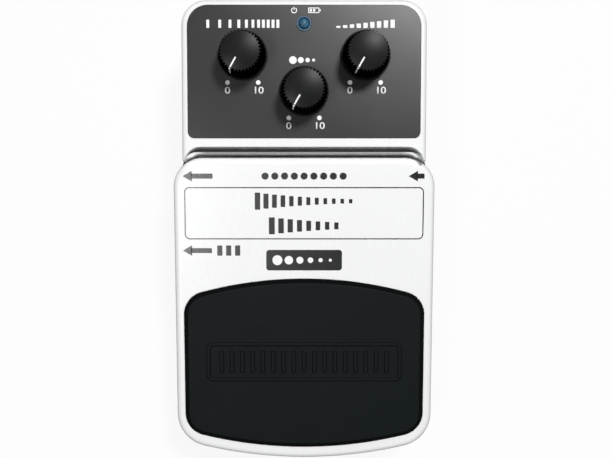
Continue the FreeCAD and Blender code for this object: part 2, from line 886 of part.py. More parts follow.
def on_head_top(edge):
    """Tell whether an edge bounds the sloping top of the head at its sides or rear."""
    slope = math.tan(math.radians(read("sizes.head_tilt")))
    start_y, start_z = read("sizes.head_front"), read("sizes.head_front_height")
    samples = [edge.valueAt(edge.FirstParameter + share * (edge.LastParameter - edge.FirstParameter))
               for share in (0, 0.5, 1)]
    if samples[1].y < start_y or near(samples[1].y, start_y):
        return False
    return all(near(point.z, start_z + (point.y - start_y) * slope) for point in samples)


def add_ridge(body):
    """Stand the thin ridge in front of the head, its ends clear of the treadle's corners."""
    rear = "(sizes.head_front - sizes.ridge_gap)"
    front = "(%s - sizes.ridge_leg)" % rear
    half = "(places.half_width - sizes.ridge_inset)"
    height = "sizes.ridge_height - sizes.hinge_block_height"
    small = "sizes.ridge_thickness"
    outline = new_sketch(body, "ridge_outline", "sizes.hinge_block_height")
    draw_rounded(outline, half, front, rear, small, "sizes.ridge_corner_radius")
    grow(body, outline, height)
    opening = new_sketch(body, "ridge_opening", "sizes.hinge_block_height")
    draw_rounded(opening, "(%s - sizes.ridge_side_thickness)" % half,
                 "(%s - sizes.overshoot)" % front, "(%s - sizes.ridge_thickness)" % rear,
                 small, "sizes.ridge_corner_radius")
    cut(body, opening, height, ahead=True)
    reach = "(sizes.hinge_row + sizes.treadle_rear * cos(sizes.treadle_slope)"
    reach += " - sizes.treadle_top * sin(sizes.treadle_slope))"
    clearing = new_sketch(body, "treadle_clearing", "sizes.hinge_block_height")
    draw_rounded(clearing, "(places.treadle_half + sizes.ridge_clearance)",
                 "(%s - sizes.ridge_leg)" % front, "(%s + sizes.ridge_clearance)" % reach,
                 small, "(sizes.treadle_rear_corner + sizes.ridge_clearance)")
    cut(body, clearing, height, ahead=True)


def panel_outline(sketch, clearance):
    """Draw the control panel's outline, larger by a clearance."""
    return draw_rounded(
        sketch,
        "(places.half_width - sizes.panel_side_margin + %s)" % clearance,
        "(sizes.panel_front_margin - %s)" % clearance,
        "(places.head_length - sizes.panel_rear_margin + %s)" % clearance,
        "(sizes.panel_front_radius + %s)" % clearance,
        "(sizes.panel_rear_radius + %s)" % clearance)


def sink_panel_recess(body):
    """Cut the panel's recess, and the holes under it for the shafts and the lamp."""
    recess = new_sketch(body, "panel_recess")
    set_place(recess, "0", "0", "0", "head", "AttachmentOffset")
    panel_outline(recess, "sizes.recess_clearance")
    cut(body, recess, "sizes.recess_depth")
    for x, row in KNOBS.values():
        bore(body, "shaft_hole", "sizes.shaft_radius + sizes.shaft_hole_clearance",
             "sizes.housing_wall + 2 * sizes.overshoot",
             (x, row, "-sizes.housing_wall - sizes.overshoot"), frame="head")
    bore(body, "lamp_hole", "sizes.lamp_radius + sizes.lamp_ring_wall + 2 * sizes.lamp_fit",
         "sizes.housing_wall + 2 * sizes.overshoot",
         ("0", "sizes.lamp_row", "-sizes.housing_wall - sizes.overshoot"), frame="head")


def add_inner_bosses(body):
    """Add the bosses that take the base screws and the pot board's screws."""
    reach = "sizes.base_screw_length + sizes.mat_thickness - places.rim_level + sizes.screw_hole_clearance"
    for x, y in BASE_SCREWS:
        rod(body, "base_boss", "sizes.base_screw_radius + sizes.base_boss_wall",
            "sizes.base_boss_height", (x, y, "places.rim_level"))
        bore(body, "base_pilot", "sizes.base_screw_radius + sizes.pilot_clearance",
             reach, (x, y, "places.rim_level"))
    for x, y in POT_SCREWS:
        rod(body, "pot_boss", "sizes.post_radius",
            "sizes.pot_board_drop - sizes.housing_wall / 2", (x, y, "places.pot_board_top"),
            frame="head")
        bore(body, "pot_pilot", "sizes.small_screw_radius + sizes.pilot_clearance",
             "sizes.small_screw_length", (x, y, "places.pot_board_top"), frame="head")


def add_battery_bay(body):
    """Add the tub that holds the battery, open above, with a notch for its leads."""
    outer = "sizes.bay_half_length + sizes.bay_wall"
    block(body, "bay_tub",
          ("2 * (%s)" % outer, "sizes.bay_front - sizes.bay_rear + 2 * sizes.bay_wall",
           "sizes.front_deck_height - places.rim_level"),
          ("-(%s)" % outer, "-sizes.bay_front - sizes.bay_wall", "places.rim_level"))
    slot(body, "bay_space",
         ("2 * sizes.bay_half_length", "sizes.bay_front - sizes.bay_rear", "sizes.front_deck_height"),
         ("-sizes.bay_half_length", "-sizes.bay_front", "places.bay_base"))
    slot(body, "lead_notch",
         ("sizes.notch_width", "sizes.bay_wall + 2 * sizes.overshoot", "sizes.notch_height"),
         ("places.lead_place - sizes.notch_width / 2", "-sizes.bay_rear - sizes.overshoot",
          "places.battery_middle - sizes.notch_height / 2"))


def add_hinge_carriers(body):
    """Add the two blocks that carry the hinge pins, and bore them."""
    wide = "sizes.carrier_length + sizes.housing_wall / 2"
    for side in (-1, 1):
        start = "places.pin_plug_start" if side > 0 else "-places.pin_plug_start - (%s)" % wide
        block(body, "pin_carrier", (wide, "sizes.carrier_width", "sizes.carrier_depth"),
              (start, "sizes.hinge_row - sizes.carrier_width / 2",
               "sizes.hinge_block_height - sizes.carrier_depth"))
    for side in (-1, 1):
        start = "places.pin_plug_start" if side > 0 else "-places.inner_half"
        bore(body, "pin_bore", "sizes.pin_bore_radius", "sizes.carrier_length",
             (start, "sizes.hinge_row", "sizes.hinge_height"), "X")
        start = "places.inner_half" if side > 0 else "-places.half_width"
        bore(body, "pin_hole", "sizes.pin_radius + sizes.pin_fit", "sizes.housing_wall",
             (start, "sizes.hinge_row", "sizes.hinge_height"), "X")


def add_deck_seats(body):
    """Add the plunger's guide and the spigots that hold the return springs."""
    rod(body, "plunger_guide", "sizes.guide_radius", "sizes.guide_rise + sizes.housing_wall / 2",
        ("0", "-sizes.switch_row", "sizes.middle_deck_height - sizes.housing_wall / 2"))
    bore(body, "plunger_hole", "sizes.plunger_radius + sizes.plunger_fit",
         "sizes.housing_wall + sizes.guide_rise + 2 * sizes.overshoot",
         ("0", "-sizes.switch_row", "places.deck_under - sizes.overshoot"))
    for side in ("-", ""):
        rod(body, "spring_spigot",
            "sizes.return_radius - sizes.return_wire / 2 - sizes.return_spigot_gap",
            "sizes.return_spigot_height + sizes.housing_wall / 2",
            (side + "sizes.return_spread", "-sizes.switch_row",
             "sizes.middle_deck_height - sizes.housing_wall / 2"))


def open_sockets(body):
    """Bore the side walls for the jacks and the rear wall for the power socket."""
    for side, row in JACKS.values():
        start = "places.inner_half - sizes.jack_wall_gap"
        if side < 0:
            start = "-places.half_width - sizes.jack_wall_gap"
        bore(body, "jack_hole", "sizes.bushing_radius + sizes.bushing_fit",
             "sizes.housing_wall + 2 * sizes.jack_wall_gap", (start, row, "places.jack_level"), "X")
    bore(body, "power_hole", "sizes.power_nose_radius + sizes.power_nose_fit",
         "sizes.housing_wall + 2 * sizes.overshoot",
         ("sizes.power_place", "sizes.housing_rear - sizes.housing_wall - sizes.overshoot",
          "places.power_level"), "Y")


# Control panel, lamp and knobs

def make_control_panel():
    body = new_body("control_panel", "head", z="-sizes.recess_depth")
    grow(body, panel_outline(new_sketch(body, "panel_outline"), "0"), "sizes.panel_thickness")
    for x, row in KNOBS.values():
        bore(body, "shaft_hole", "sizes.shaft_radius + sizes.shaft_hole_clearance",
             "sizes.panel_thickness", (x, row, "0"))
    bore(body, "lamp_hole", "sizes.lamp_radius + sizes.lamp_ring_wall + 2 * sizes.lamp_fit",
         "sizes.panel_thickness", ("0", "sizes.lamp_row", "0"))


def make_lamp():
    lens = new_body("lamp", "head", y="sizes.lamp_row")
    rod(lens, "lamp_flange", "sizes.lamp_flange_radius", "sizes.lamp_flange_thickness",
        ("0", "0", "places.lamp_seat"))
    rod(lens, "lamp_lens", "sizes.lamp_radius",
        "sizes.lamp_rise - sizes.lamp_radius - places.lamp_seat", ("0", "0", "places.lamp_seat"))
    primitive(lens, "AdditiveSphere", "lamp_dome", {"Radius": "sizes.lamp_radius"},
              ("0", "0", "sizes.lamp_rise - sizes.lamp_radius"))
    for side in ("-", ""):
        block(lens, "lamp_leg",
              ("sizes.lamp_leg_width", "sizes.lamp_leg_width", "places.lamp_seat - places.pot_board_top"),
              (side + "sizes.lamp_leg_pitch / 2 - sizes.lamp_leg_width / 2",
               "-sizes.lamp_leg_width / 2", "places.pot_board_top"))
    spacer = new_body("lamp_spacer", "head", y="sizes.lamp_row")
    inner = "sizes.lamp_leg_pitch / 2 + sizes.lamp_leg_width"
    rod(spacer, "spacer_tube", "%s + sizes.spacer_wall" % inner,
        "places.lamp_seat - places.pot_board_top", ("0", "0", "places.pot_board_top"))
    bore(spacer, "spacer_bore", inner, "places.lamp_seat - places.pot_board_top",
         ("0", "0", "places.pot_board_top"))
    ring = new_body("lamp_ring", "head", y="sizes.lamp_row")
    drop = "(sizes.housing_wall + sizes.lamp_fit)"
    rod(ring, "ring_tube", "sizes.lamp_radius + sizes.lamp_ring_wall + sizes.lamp_fit",
        "%s + sizes.lamp_ring_rise" % drop, ("0", "0", "-%s" % drop))
    bore(ring, "ring_bore", "sizes.lamp_radius + sizes.lamp_fit",
         "%s + sizes.lamp_ring_rise" % drop, ("0", "0", "-%s" % drop))


def d_outline(sketch, radius):
    """Draw a round outline with one flat, for a knob's shaft and bore."""
    flat = "(sizes.shaft_flat + (%s) - sizes.shaft_radius)" % radius
    across = "sqrt((%s)^2 - %s^2)" % (radius, flat)
    return draw(sketch, [
        ("-" + across, flat, radius),
        ("0", "-(%s)" % radius, radius),
        (across, flat),
    ])


def knob_profile(sketch):
    """Draw half of the knob's outline: base ring, tapered side and domed top."""
    return draw(sketch, [
        ("0", "sizes.knob_gap"),
        ("sizes.knob_base_radius", "sizes.knob_gap"),
        ("sizes.knob_base_radius", "sizes.knob_gap + sizes.knob_base_thickness"),
        ("sizes.knob_foot_radius", "sizes.knob_gap + sizes.knob_base_thickness"),
        ("sizes.knob_top_radius", "places.knob_top", "places.dome_radius"),
        ("0", "places.knob_top + sizes.knob_dome_rise"),
    ])


def turn_pointer_sketch(sketch):
    """Turn a sketch of a knob so that its Y axis points to the knob's lowest setting."""
    turn = "180 - sizes.pointer_angle"
    sketch.AttachmentOffset = Placement(Vector(), Rotation(Vector(0, 0, 1), read(turn)))
    bind(sketch, {"AttachmentOffset.Rotation.Angle": turn})


def make_knob(side):
    """Make a fluted knob with a D bore and a slot for its pointer."""
    x, row = KNOBS[side]
    body = new_body("knob_" + side, "head", x, row)
    turn(body, knob_profile(new_sketch(body, "knob_profile", role="XZ_Plane")))
    cut_flutes(body)
    bore(body, "knob_hollow", "sizes.knob_hollow_radius", "sizes.knob_hollow_depth",
         ("0", "0", "sizes.knob_gap"))
    socket = d_outline(new_sketch(body, "knob_bore", "sizes.knob_gap"),
                       "(sizes.shaft_radius + sizes.shaft_fit)")
    turn_pointer_sketch(socket)
    cut(body, socket, "sizes.knob_bore_depth", ahead=True)
    groove = new_sketch(body, "pointer_slot", "places.knob_top + sizes.knob_dome_rise")
    turn_pointer_sketch(groove)
    pointer_outline(groove, "sizes.knob_base_radius")
    cut(body, groove, "sizes.knob_dome_rise + sizes.pointer_depth")


def pointer_outline(sketch, end):
    """Draw the strip that the pointer fills, from near the middle out to an end."""
    half = "sizes.pointer_width / 2"
    return draw_rectangle(sketch, "-" + half, half, "sizes.pointer_start", end)


def cut_flutes(body):
    """Cut the flutes that run up the knob's side."""
    taper = "atan((sizes.knob_foot_radius - sizes.knob_top_radius)"
    taper += " / (sizes.knob_height - sizes.knob_base_thickness))"
    flute = body.newObject("PartDesign::SubtractiveCylinder", "flute")
    flute.Placement = Placement(Vector(), Rotation(Vector(0, -1, 0), read(taper)))
    bind(flute, {
        "Radius": "sizes.flute_radius",
        "Height": "sizes.knob_height + sizes.overshoot",
        "Placement.Base.x": "sizes.knob_foot_radius + sizes.flute_radius - sizes.flute_depth",
        "Placement.Base.z": "sizes.knob_gap + sizes.knob_base_thickness",
        "Placement.Rotation.Angle": taper,
    })
    DOC.recompute()
    flutes = body.newObject("PartDesign::PolarPattern", "flutes")
    flutes.Originals = [flute]
    flutes.Axis = (origin_feature(body, "Z_Axis"), [""])
    flutes.Angle = 360
    bind(flutes, {"Occurrences": "sizes.flute_count"})
    body.Tip = flutes


def make_pointer(side):
    """Make the pointer that fills the slot in a knob, its top flush with the dome."""
    x, row = KNOBS[side]
    body = new_body("pointer_" + side, "head", x, row)
    turn(body, draw(new_sketch(body, "dome_profile", role="XZ_Plane"), [
        ("0", "places.knob_top - sizes.pointer_depth"),
        ("sizes.knob_top_radius", "places.knob_top - sizes.pointer_depth"),
        ("sizes.knob_top_radius", "places.knob_top", "places.dome_radius"),
        ("0", "places.knob_top + sizes.knob_dome_rise"),
    ]))
    strip = new_sketch(body, "all_but_the_strip", "places.knob_top + sizes.knob_dome_rise")
    turn_pointer_sketch(strip)
    pointer_outline(strip, "(sizes.knob_top_radius - sizes.flute_depth)")
    beyond = "(sizes.knob_base_radius + sizes.overshoot)"
    draw_rectangle(strip, "-" + beyond, beyond, "-" + beyond, beyond)
    cut(body, strip)


def make_pot(side):
    """Make a potentiometer's case with its bushing, bore and three terminals."""
    x, row = KNOBS[side]
    body = new_body("pot_" + side, "head", x, row)
    block(body, "pot_case", ("sizes.pot_width", "sizes.pot_depth", "sizes.pot_height"),
          ("-sizes.pot_width / 2", "-sizes.pot_depth / 2", "places.pot_board_top"))
    rod(body, "pot_bushing", "sizes.shaft_radius + sizes.bushing_wall", "sizes.bushing_height",
        ("0", "0", "places.pot_top"))
    bore(body, "pot_bore", "sizes.shaft_radius + sizes.shaft_fit",
         "sizes.pot_height - sizes.pot_floor + sizes.bushing_height",
         ("0", "0", "places.pot_board_top + sizes.pot_floor"))
    feet = new_sketch(body, "terminals", "places.pot_board_top")
    for number in (-1, 0, 1):
        middle = "%d * sizes.terminal_pitch" % number
        draw_rectangle(feet, "%s - sizes.terminal_width / 2" % middle,
                       "%s + sizes.terminal_width / 2" % middle,
                       "-sizes.pot_depth / 2 - sizes.terminal_length", "-sizes.pot_depth / 2")
    grow(body, feet, "sizes.terminal_thickness")


def make_shaft(side):
    """Make a potentiometer's shaft, with a flat over the length that the knob grips."""
    x, row = KNOBS[side]
    body = new_body("shaft_" + side, "head", x, row)
    bottom = "(places.pot_board_top + sizes.pot_floor + sizes.shaft_end_gap)"
    rod(body, "shaft_lower", "sizes.shaft_radius", "sizes.flat_start - %s" % bottom,
        ("0", "0", bottom))
    upper = d_outline(new_sketch(body, "shaft_upper", "sizes.flat_start"), "sizes.shaft_radius")
    turn_pointer_sketch(upper)
    grow(body, upper,
         "sizes.knob_gap + sizes.knob_bore_depth - sizes.shaft_end_gap - sizes.flat_start")


def make_pot_board():
    body = new_body("pot_board", "head")
    size = ("2 * sizes.pot_board_half_width", "sizes.pot_board_rear - sizes.pot_board_front",
            "sizes.board_thickness")
    block(body, "pot_board_sheet", size,
          ("-sizes.pot_board_half_width", "sizes.pot_board_front", "places.pot_board_under"))
    for x, y in POT_SCREWS:
        bore(body, "pot_board_hole", "sizes.small_screw_radius + sizes.screw_hole_clearance",
             "sizes.board_thickness", (x, y, "places.pot_board_under"))


# Main board and what stands on it

def make_main_board():
    body = new_body("main_board")
    block(body, "board_sheet",
          ("2 * sizes.board_half_width", "sizes.board_front + sizes.board_rear",
           "sizes.board_thickness"),
          ("-sizes.board_half_width", "-sizes.board_front", "places.board_under"))
    for x, y in both_sides("sizes.rear_screw_spread", "sizes.rear_screw_row"):
        bore(body, "boss_notch",
             "sizes.base_screw_radius + sizes.base_boss_wall + sizes.board_notch_clearance",
             "sizes.board_thickness", (x, y, "places.board_under"))
    for x, y in POSTS:
        bore(body, "board_hole", "sizes.small_screw_radius + sizes.screw_hole_clearance",
             "sizes.board_thickness", (x, y, "places.board_under"))


def jack_start(side, near_x, far_x):
    """Give the least X of a span between two distances on one side of the pedal."""
    return near_x if side > 0 else "-(%s)" % far_x


def make_jack(label):
    """Make a jack: case on the board, bushing through the wall, bore for the plug."""
    side, row = JACKS[label]
    body = new_body(label)
    block(body, "jack_case", ("sizes.jack_length", "sizes.jack_width", "sizes.jack_width"),
          (jack_start(side, "places.jack_inner", "places.jack_outer"),
           "%s - sizes.jack_width / 2" % row, "places.board_level"))
    rod(body, "jack_bushing", "sizes.bushing_radius", "places.bushing_face - places.jack_outer",
        (jack_start(side, "places.jack_outer", "places.bushing_face"), row, "places.jack_level"), "X")
    bore(body, "plug_bore", "places.socket_radius",
         "places.bushing_face - places.jack_inner - sizes.jack_end_wall",
         (jack_start(side, "places.jack_inner + sizes.jack_end_wall", "places.bushing_face"),
          row, "places.jack_level"), "X")
    for x, y, z, size in contact_boxes(side, row, "sizes.contact_gap"):
        slot(body, "contact_slot", size, (x, y, z))


def contact_boxes(side, row, gap):
    """List the boxes of a jack's two leaf contacts, above its bore, larger by a gap."""
    boxes = []
    for number in (0, 1):
        start = "(places.jack_inner + sizes.contact_start + %d * sizes.contact_pitch - %s)" % (number, gap)
        end = "(%s + sizes.contact_length + 2 * %s)" % (start, gap)
        boxes.append((
            jack_start(side, start, end),
            "%s - sizes.contact_width / 2 - %s" % (row, gap),
            "places.jack_level + sqrt(places.socket_radius^2 - (sizes.contact_width / 2)^2)",
            ("sizes.contact_length + 2 * %s" % gap, "sizes.contact_width + 2 * %s" % gap,
             "places.socket_radius - sqrt(places.socket_radius^2 - (sizes.contact_width / 2)^2)"
             " + sizes.contact_thickness + 2 * %s" % gap),
        ))
    return boxes


def make_jack_contacts():
    """Make the leaf contacts that lie in the jacks' slots, above the plug's path."""
    body = new_body("jack_contacts")
    for side, row in JACKS.values():
        for x, y, _, size in contact_boxes(side, row, "0"):
            block(body, "leaf_contact", (size[0], size[1], "sizes.contact_thickness"),
                  (x, y, "places.jack_level + places.socket_radius + sizes.contact_gap"))


def make_jack_fasteners():
    """Make the washers and hexagonal nuts that hold the jacks to the walls."""
    washers = new_body("jack_washers")
    nuts = new_body("jack_nuts")
    clear = "sizes.bushing_radius + sizes.bushing_fit"
    for side, row in JACKS.values():
        washer_start = jack_start(side, "places.half_width",
                                  "places.half_width + sizes.washer_thickness")
        nut_start = jack_start(side, "places.half_width + sizes.washer_thickness", "places.nut_face")
        rod(washers, "washer", "sizes.washer_radius", "sizes.washer_thickness",
            (washer_start, row, "places.jack_level"), "X")
        bore(washers, "washer_hole", clear, "sizes.washer_thickness",
             (washer_start, row, "places.jack_level"), "X")
        nut = primitive(nuts, "AdditivePrism", "nut",
                        {"Circumradius": "sizes.nut_radius", "Height": "sizes.nut_thickness"},
                        (nut_start, row, "places.jack_level"), "X")
        nut.Polygon = NUT_SIDES
        bore(nuts, "nut_hole", clear, "sizes.nut_thickness",
             (nut_start, row, "places.jack_level"), "X")


def make_power_socket():
    """Make the power socket, its centre pin and its side contact."""
    front = "places.power_back - sizes.power_depth"
    body = new_body("power_socket", x="sizes.power_place", z="places.power_level")
    block(body, "socket_case", ("sizes.power_width", "sizes.power_depth", "sizes.power_height"),
          ("-sizes.power_width / 2", front, "-sizes.power_height / 2"))
    rod(body, "socket_nose", "sizes.power_nose_radius", "places.power_face - places.power_back",
        ("0", "places.power_back", "0"), "Y")
    bore(body, "socket_mouth", "sizes.power_mouth_radius", "sizes.power_mouth_depth",
         ("0", "places.power_face - sizes.power_mouth_depth", "0"), "Y")
    bore(body, "socket_bore", "sizes.power_bore_radius", "sizes.power_bore_depth",
         ("0", "places.power_face - sizes.power_bore_depth", "0"), "Y")
    slot(body, "side_slot",
         ("sizes.power_contact_width", "sizes.power_contact_length",
          "sizes.power_height / 2 - sizes.terminal_thickness"),
         ("-sizes.power_contact_width / 2", "%s + sizes.power_depth - sizes.power_contact_length"
          % front, "0"))
    pin = new_body("power_pin", x="sizes.power_place", z="places.power_level")
    rod(pin, "pin_rod", "sizes.power_pin_radius",
        "sizes.power_bore_depth - sizes.power_mouth_depth",
        ("0", "places.power_face - sizes.power_bore_depth", "0"), "Y")
    leaf = new_body("power_contact", x="sizes.power_place", z="places.power_level")
    block(leaf, "side_leaf",
          ("sizes.power_contact_width - 2 * sizes.contact_gap",
           "sizes.power_contact_length - 2 * sizes.contact_gap", "sizes.contact_thickness"),
          ("-sizes.power_contact_width / 2 + sizes.contact_gap",
           "%s + sizes.power_depth - sizes.power_contact_length + sizes.contact_gap" % front,
           "sizes.power_height / 2 - sizes.terminal_thickness - sizes.contact_thickness"))


def make_foot_switch():
    """Make the switch on the board, its button and the plunger that the treadle pushes."""
    row = "-sizes.switch_row"
    switch = new_body("foot_switch")
    block(switch, "switch_case", ("sizes.switch_width", "sizes.switch_width", "sizes.switch_height"),
          ("-sizes.switch_width / 2", "%s - sizes.switch_width / 2" % row, "places.board_level"))
    bore(switch, "button_well", "sizes.button_radius + sizes.button_fit", "sizes.button_well_depth",
         ("0", row, "places.switch_top - sizes.button_well_depth"))
    button = new_body("switch_button")
    rod(button, "button_rod", "sizes.button_radius", "sizes.button_rise + sizes.button_depth",
        ("0", row, "places.switch_top - sizes.button_depth"))
    plunger = new_body("switch_plunger")
    rod(plunger, "plunger_foot", "sizes.plunger_foot_radius",
        "places.collar_under - places.button_top", ("0", row, "places.button_top"))
    rod(plunger, "plunger_collar", "sizes.collar_radius", "sizes.collar_thickness",
        ("0", row, "places.collar_under"))
    rod(plunger, "plunger_stem", "sizes.plunger_radius",
        "places.plunger_top - places.collar_under", ("0", row, "places.collar_under"))


def add_chips(body, name, places):
    """Add chips at a list of places: cases on short legs that reach the board."""
    cases = new_sketch(body, name + "_cases", "places.board_level + sizes.chip_standoff")
    feet = new_sketch(body, name + "_legs", "places.board_level")
    for x, y in places:
        draw_rectangle(cases, "%s - sizes.chip_length / 2" % x, "%s + sizes.chip_length / 2" % x,
                       "%s - sizes.chip_width / 2" % y, "%s + sizes.chip_width / 2" % y)
        for number in range(CHIP_LEGS):
            middle = "%s + %g * sizes.chip_leg_pitch" % (x, number - (CHIP_LEGS - 1) / 2)
            for start in ("%s - sizes.chip_width / 2 - sizes.chip_leg_reach" % y,
                          "%s + sizes.chip_width / 2" % y):
                draw_rectangle(feet, "%s - sizes.chip_leg_width / 2" % middle,
                               "%s + sizes.chip_leg_width / 2" % middle,
                               start, "%s + sizes.chip_leg_reach" % start)
    grow(body, cases, "sizes.chip_height")
    grow(body, feet, "sizes.chip_standoff + sizes.chip_height / 2")


def make_chips():
    """Make the bucket-brigade delay chip, its clock chip and three amplifier chips."""
    left, right = "-sizes.chip_column", "sizes.chip_column"
    rows = ["(sizes.chip_front_row + %d * sizes.chip_row_pitch)" % number for number in range(2)]
    add_chips(new_body("delay_chip"), "delay", [(left, rows[0])])
    add_chips(new_body("clock_chip"), "clock", [(left, rows[1])])
    behind = "(sizes.chip_front_row + 2 * sizes.chip_row_pitch)"
    add_chips(new_body("amplifier_chips"), "amplifier",
              [(right, rows[0]), (right, rows[1]), (left, behind)])


def make_loose_components():
    """Make the capacitors, resistors, trimmers and transistors that stand on the board."""
    cans = new_body("electrolytic_capacitors")
    circles = new_sketch(cans, "can_circles", "places.board_level")
    for column in (-0.5, 0.5):
        for row in range(2):
            draw_circle(circles, "%g * sizes.can_pitch" % column,
                        "sizes.can_row + %d * sizes.can_pitch" % row, "sizes.can_radius")
    grow(cans, circles, "sizes.can_height")

    films = new_body("film_capacitors")
    boxes = new_sketch(films, "film_boxes", "places.board_level")
    for side in (-1, 1):
        for row in range(FILM_ROWS):
            x = "%d * sizes.film_column" % side
            y = "sizes.film_row + %d * sizes.film_pitch" % row
            draw_rectangle(boxes, "%s - sizes.film_length / 2" % x, "%s + sizes.film_length / 2" % x,
                           "%s - sizes.film_width / 2" % y, "%s + sizes.film_width / 2" % y)
    grow(films, boxes, "sizes.film_height")

    resistors = new_body("resistors")
    rounds = new_sketch(resistors, "resistor_rounds",
                        "sizes.resistor_column - sizes.resistor_length / 2", "YZ_Plane")
    for row in range(RESISTOR_ROWS):
        draw_circle(rounds, "-sizes.board_front + sizes.resistor_start + %d * sizes.resistor_pitch" % row,
                    "places.board_level + sizes.resistor_radius", "sizes.resistor_radius")
    grow(resistors, rounds, "sizes.resistor_length")

    trimmers = new_body("trimmers")
    for side in ("-", ""):
        x = side + "sizes.can_pitch / 2"
        rod(trimmers, "trimmer", "sizes.trimmer_radius", "sizes.trimmer_height",
            (x, "sizes.trimmer_row", "places.board_level"))
        slot(trimmers, "trimmer_slot",
             ("sizes.trimmer_slot_length", "sizes.trimmer_slot", "sizes.trimmer_slot_depth"),
             ("%s - sizes.trimmer_slot_length / 2" % x,
              "sizes.trimmer_row - sizes.trimmer_slot / 2",
              "places.board_level + sizes.trimmer_height - sizes.trimmer_slot_depth"))

    transistors = new_body("transistors")
    outlines = new_sketch(transistors, "transistor_outlines", "places.board_level")
    for row in range(2):
        y = "-sizes.direct_jack_row + %d * sizes.transistor_pitch" % row
        draw_rectangle(outlines, "sizes.transistor_column - sizes.transistor_width / 2",
                       "sizes.transistor_column + sizes.transistor_width / 2",
                       "%s - sizes.transistor_depth / 2" % y, "%s + sizes.transistor_depth / 2" % y)
    grow(transistors, outlines, "sizes.transistor_height")


# Treadle and pad

def make_treadle():
    """Make the treadle: a sloping plate with skirts, ears for the pins and a pad recess."""
    body = new_body("treadle", "treadle")
    half, front, rear = "places.treadle_half", "-sizes.treadle_front", "sizes.treadle_rear"
    radius = "sizes.treadle_front_radius"
    grow(body, draw_bowed(new_sketch(body, "treadle_outline", "-sizes.ear_radius"),
                          half, front, rear, radius), "sizes.treadle_top + sizes.ear_radius")
    inner_half = "(places.treadle_half - sizes.skirt_wall)"
    inner_front = "(-sizes.treadle_front + sizes.skirt_wall)"
    inner_rear = "(sizes.treadle_rear - sizes.skirt_wall)"
    inner_radius = "(sizes.treadle_front_radius - sizes.skirt_wall)"
    hollow = new_sketch(body, "treadle_hollow", "-sizes.ear_radius")
    draw_bowed(hollow, inner_half, inner_front, inner_rear, inner_radius)
    cut(body, hollow, "places.treadle_under + sizes.ear_radius", ahead=True)
    fronts, rears = shell_corners(inner_half, inner_front, inner_rear, inner_radius)
    round_edges(body, "hollow_front_corners", "sizes.treadle_front_corner - sizes.skirt_wall",
                upright_at(fronts))
    round_edges(body, "hollow_rear_corners", "sizes.treadle_rear_corner - sizes.skirt_wall",
                upright_at(rears))
    fronts, rears = shell_corners(half, front, rear, radius)
    round_edges(body, "treadle_front_corners", "sizes.treadle_front_corner", upright_at(fronts))
    round_edges(body, "treadle_rear_corners", "sizes.treadle_rear_corner", upright_at(rears))
    cut_skirts(body)
    recess = new_sketch(body, "pad_recess", "sizes.treadle_top")
    draw_pad(recess, "sizes.pad_fit")
    cut(body, recess, "sizes.pad_recess")
    round_pad(body, "recess_corners", "sizes.pad_fit")
    round_edges(body, "treadle_top_edges", "sizes.treadle_edge_radius",
                rim_at(body, "sizes.treadle_top"))
    bore(body, "pin_hole", "sizes.pin_radius + sizes.pin_fit", "sizes.treadle_width",
         ("-places.treadle_half", "0", "0"), "X")


def cut_skirts(body):
    """Cut the skirts to their height, leaving an ear on each side around the hinge."""
    below = "-sizes.ear_radius - sizes.overshoot"
    ahead = "-sizes.treadle_front - sizes.overshoot"
    behind = "sizes.treadle_rear + sizes.overshoot"
    lip = "sizes.treadle_top - sizes.rear_lip"
    front_cut = new_sketch(body, "skirt_front_cut", role="YZ_Plane")
    draw_rectangle(front_cut, ahead, "-sizes.ear_radius", below, "sizes.skirt_bottom")
    cut(body, front_cut, both=True)
    rear_cut = new_sketch(body, "skirt_rear_cut", role="YZ_Plane")
    draw_rectangle(rear_cut, "sizes.ear_radius", behind, below, lip)
    cut(body, rear_cut, both=True)
    round_edges(body, "ear_ends", "sizes.ear_radius - sizes.ear_flat", crosswise_at([
        ("-sizes.ear_radius", "-sizes.ear_radius"),
        ("sizes.ear_radius", "-sizes.ear_radius"),
    ]))
    round_edges(body, "ear_blends", "sizes.ear_blend", crosswise_at([
        ("-sizes.ear_radius", "sizes.skirt_bottom"),
        ("sizes.ear_radius", lip),
    ]))


def pad_edges(fit):
    """Give the pad's half width, front, rear and the radii of its bowed ends."""
    return ("(sizes.pad_half_width + %s)" % fit, "(-sizes.pad_front - %s)" % fit,
            "(-sizes.pad_rear + %s)" % fit, "(sizes.pad_front_radius + %s)" % fit,
            "(sizes.pad_rear_radius + %s)" % fit)


def draw_pad(sketch, fit):
    """Draw the pad's outline, larger by a fit."""
    return draw_bowed(sketch, *pad_edges(fit))


def round_pad(body, name, fit):
    """Round the corners of the pad or of its recess."""
    half, front, rear, front_radius, rear_radius = pad_edges(fit)
    corners = (both_sides(half, "%s + %s" % (front, bow(half, front_radius)))
               + both_sides(half, "%s - %s" % (rear, bow(half, rear_radius))))
    round_edges(body, name, "sizes.pad_corner + %s" % fit, upright_at(corners))


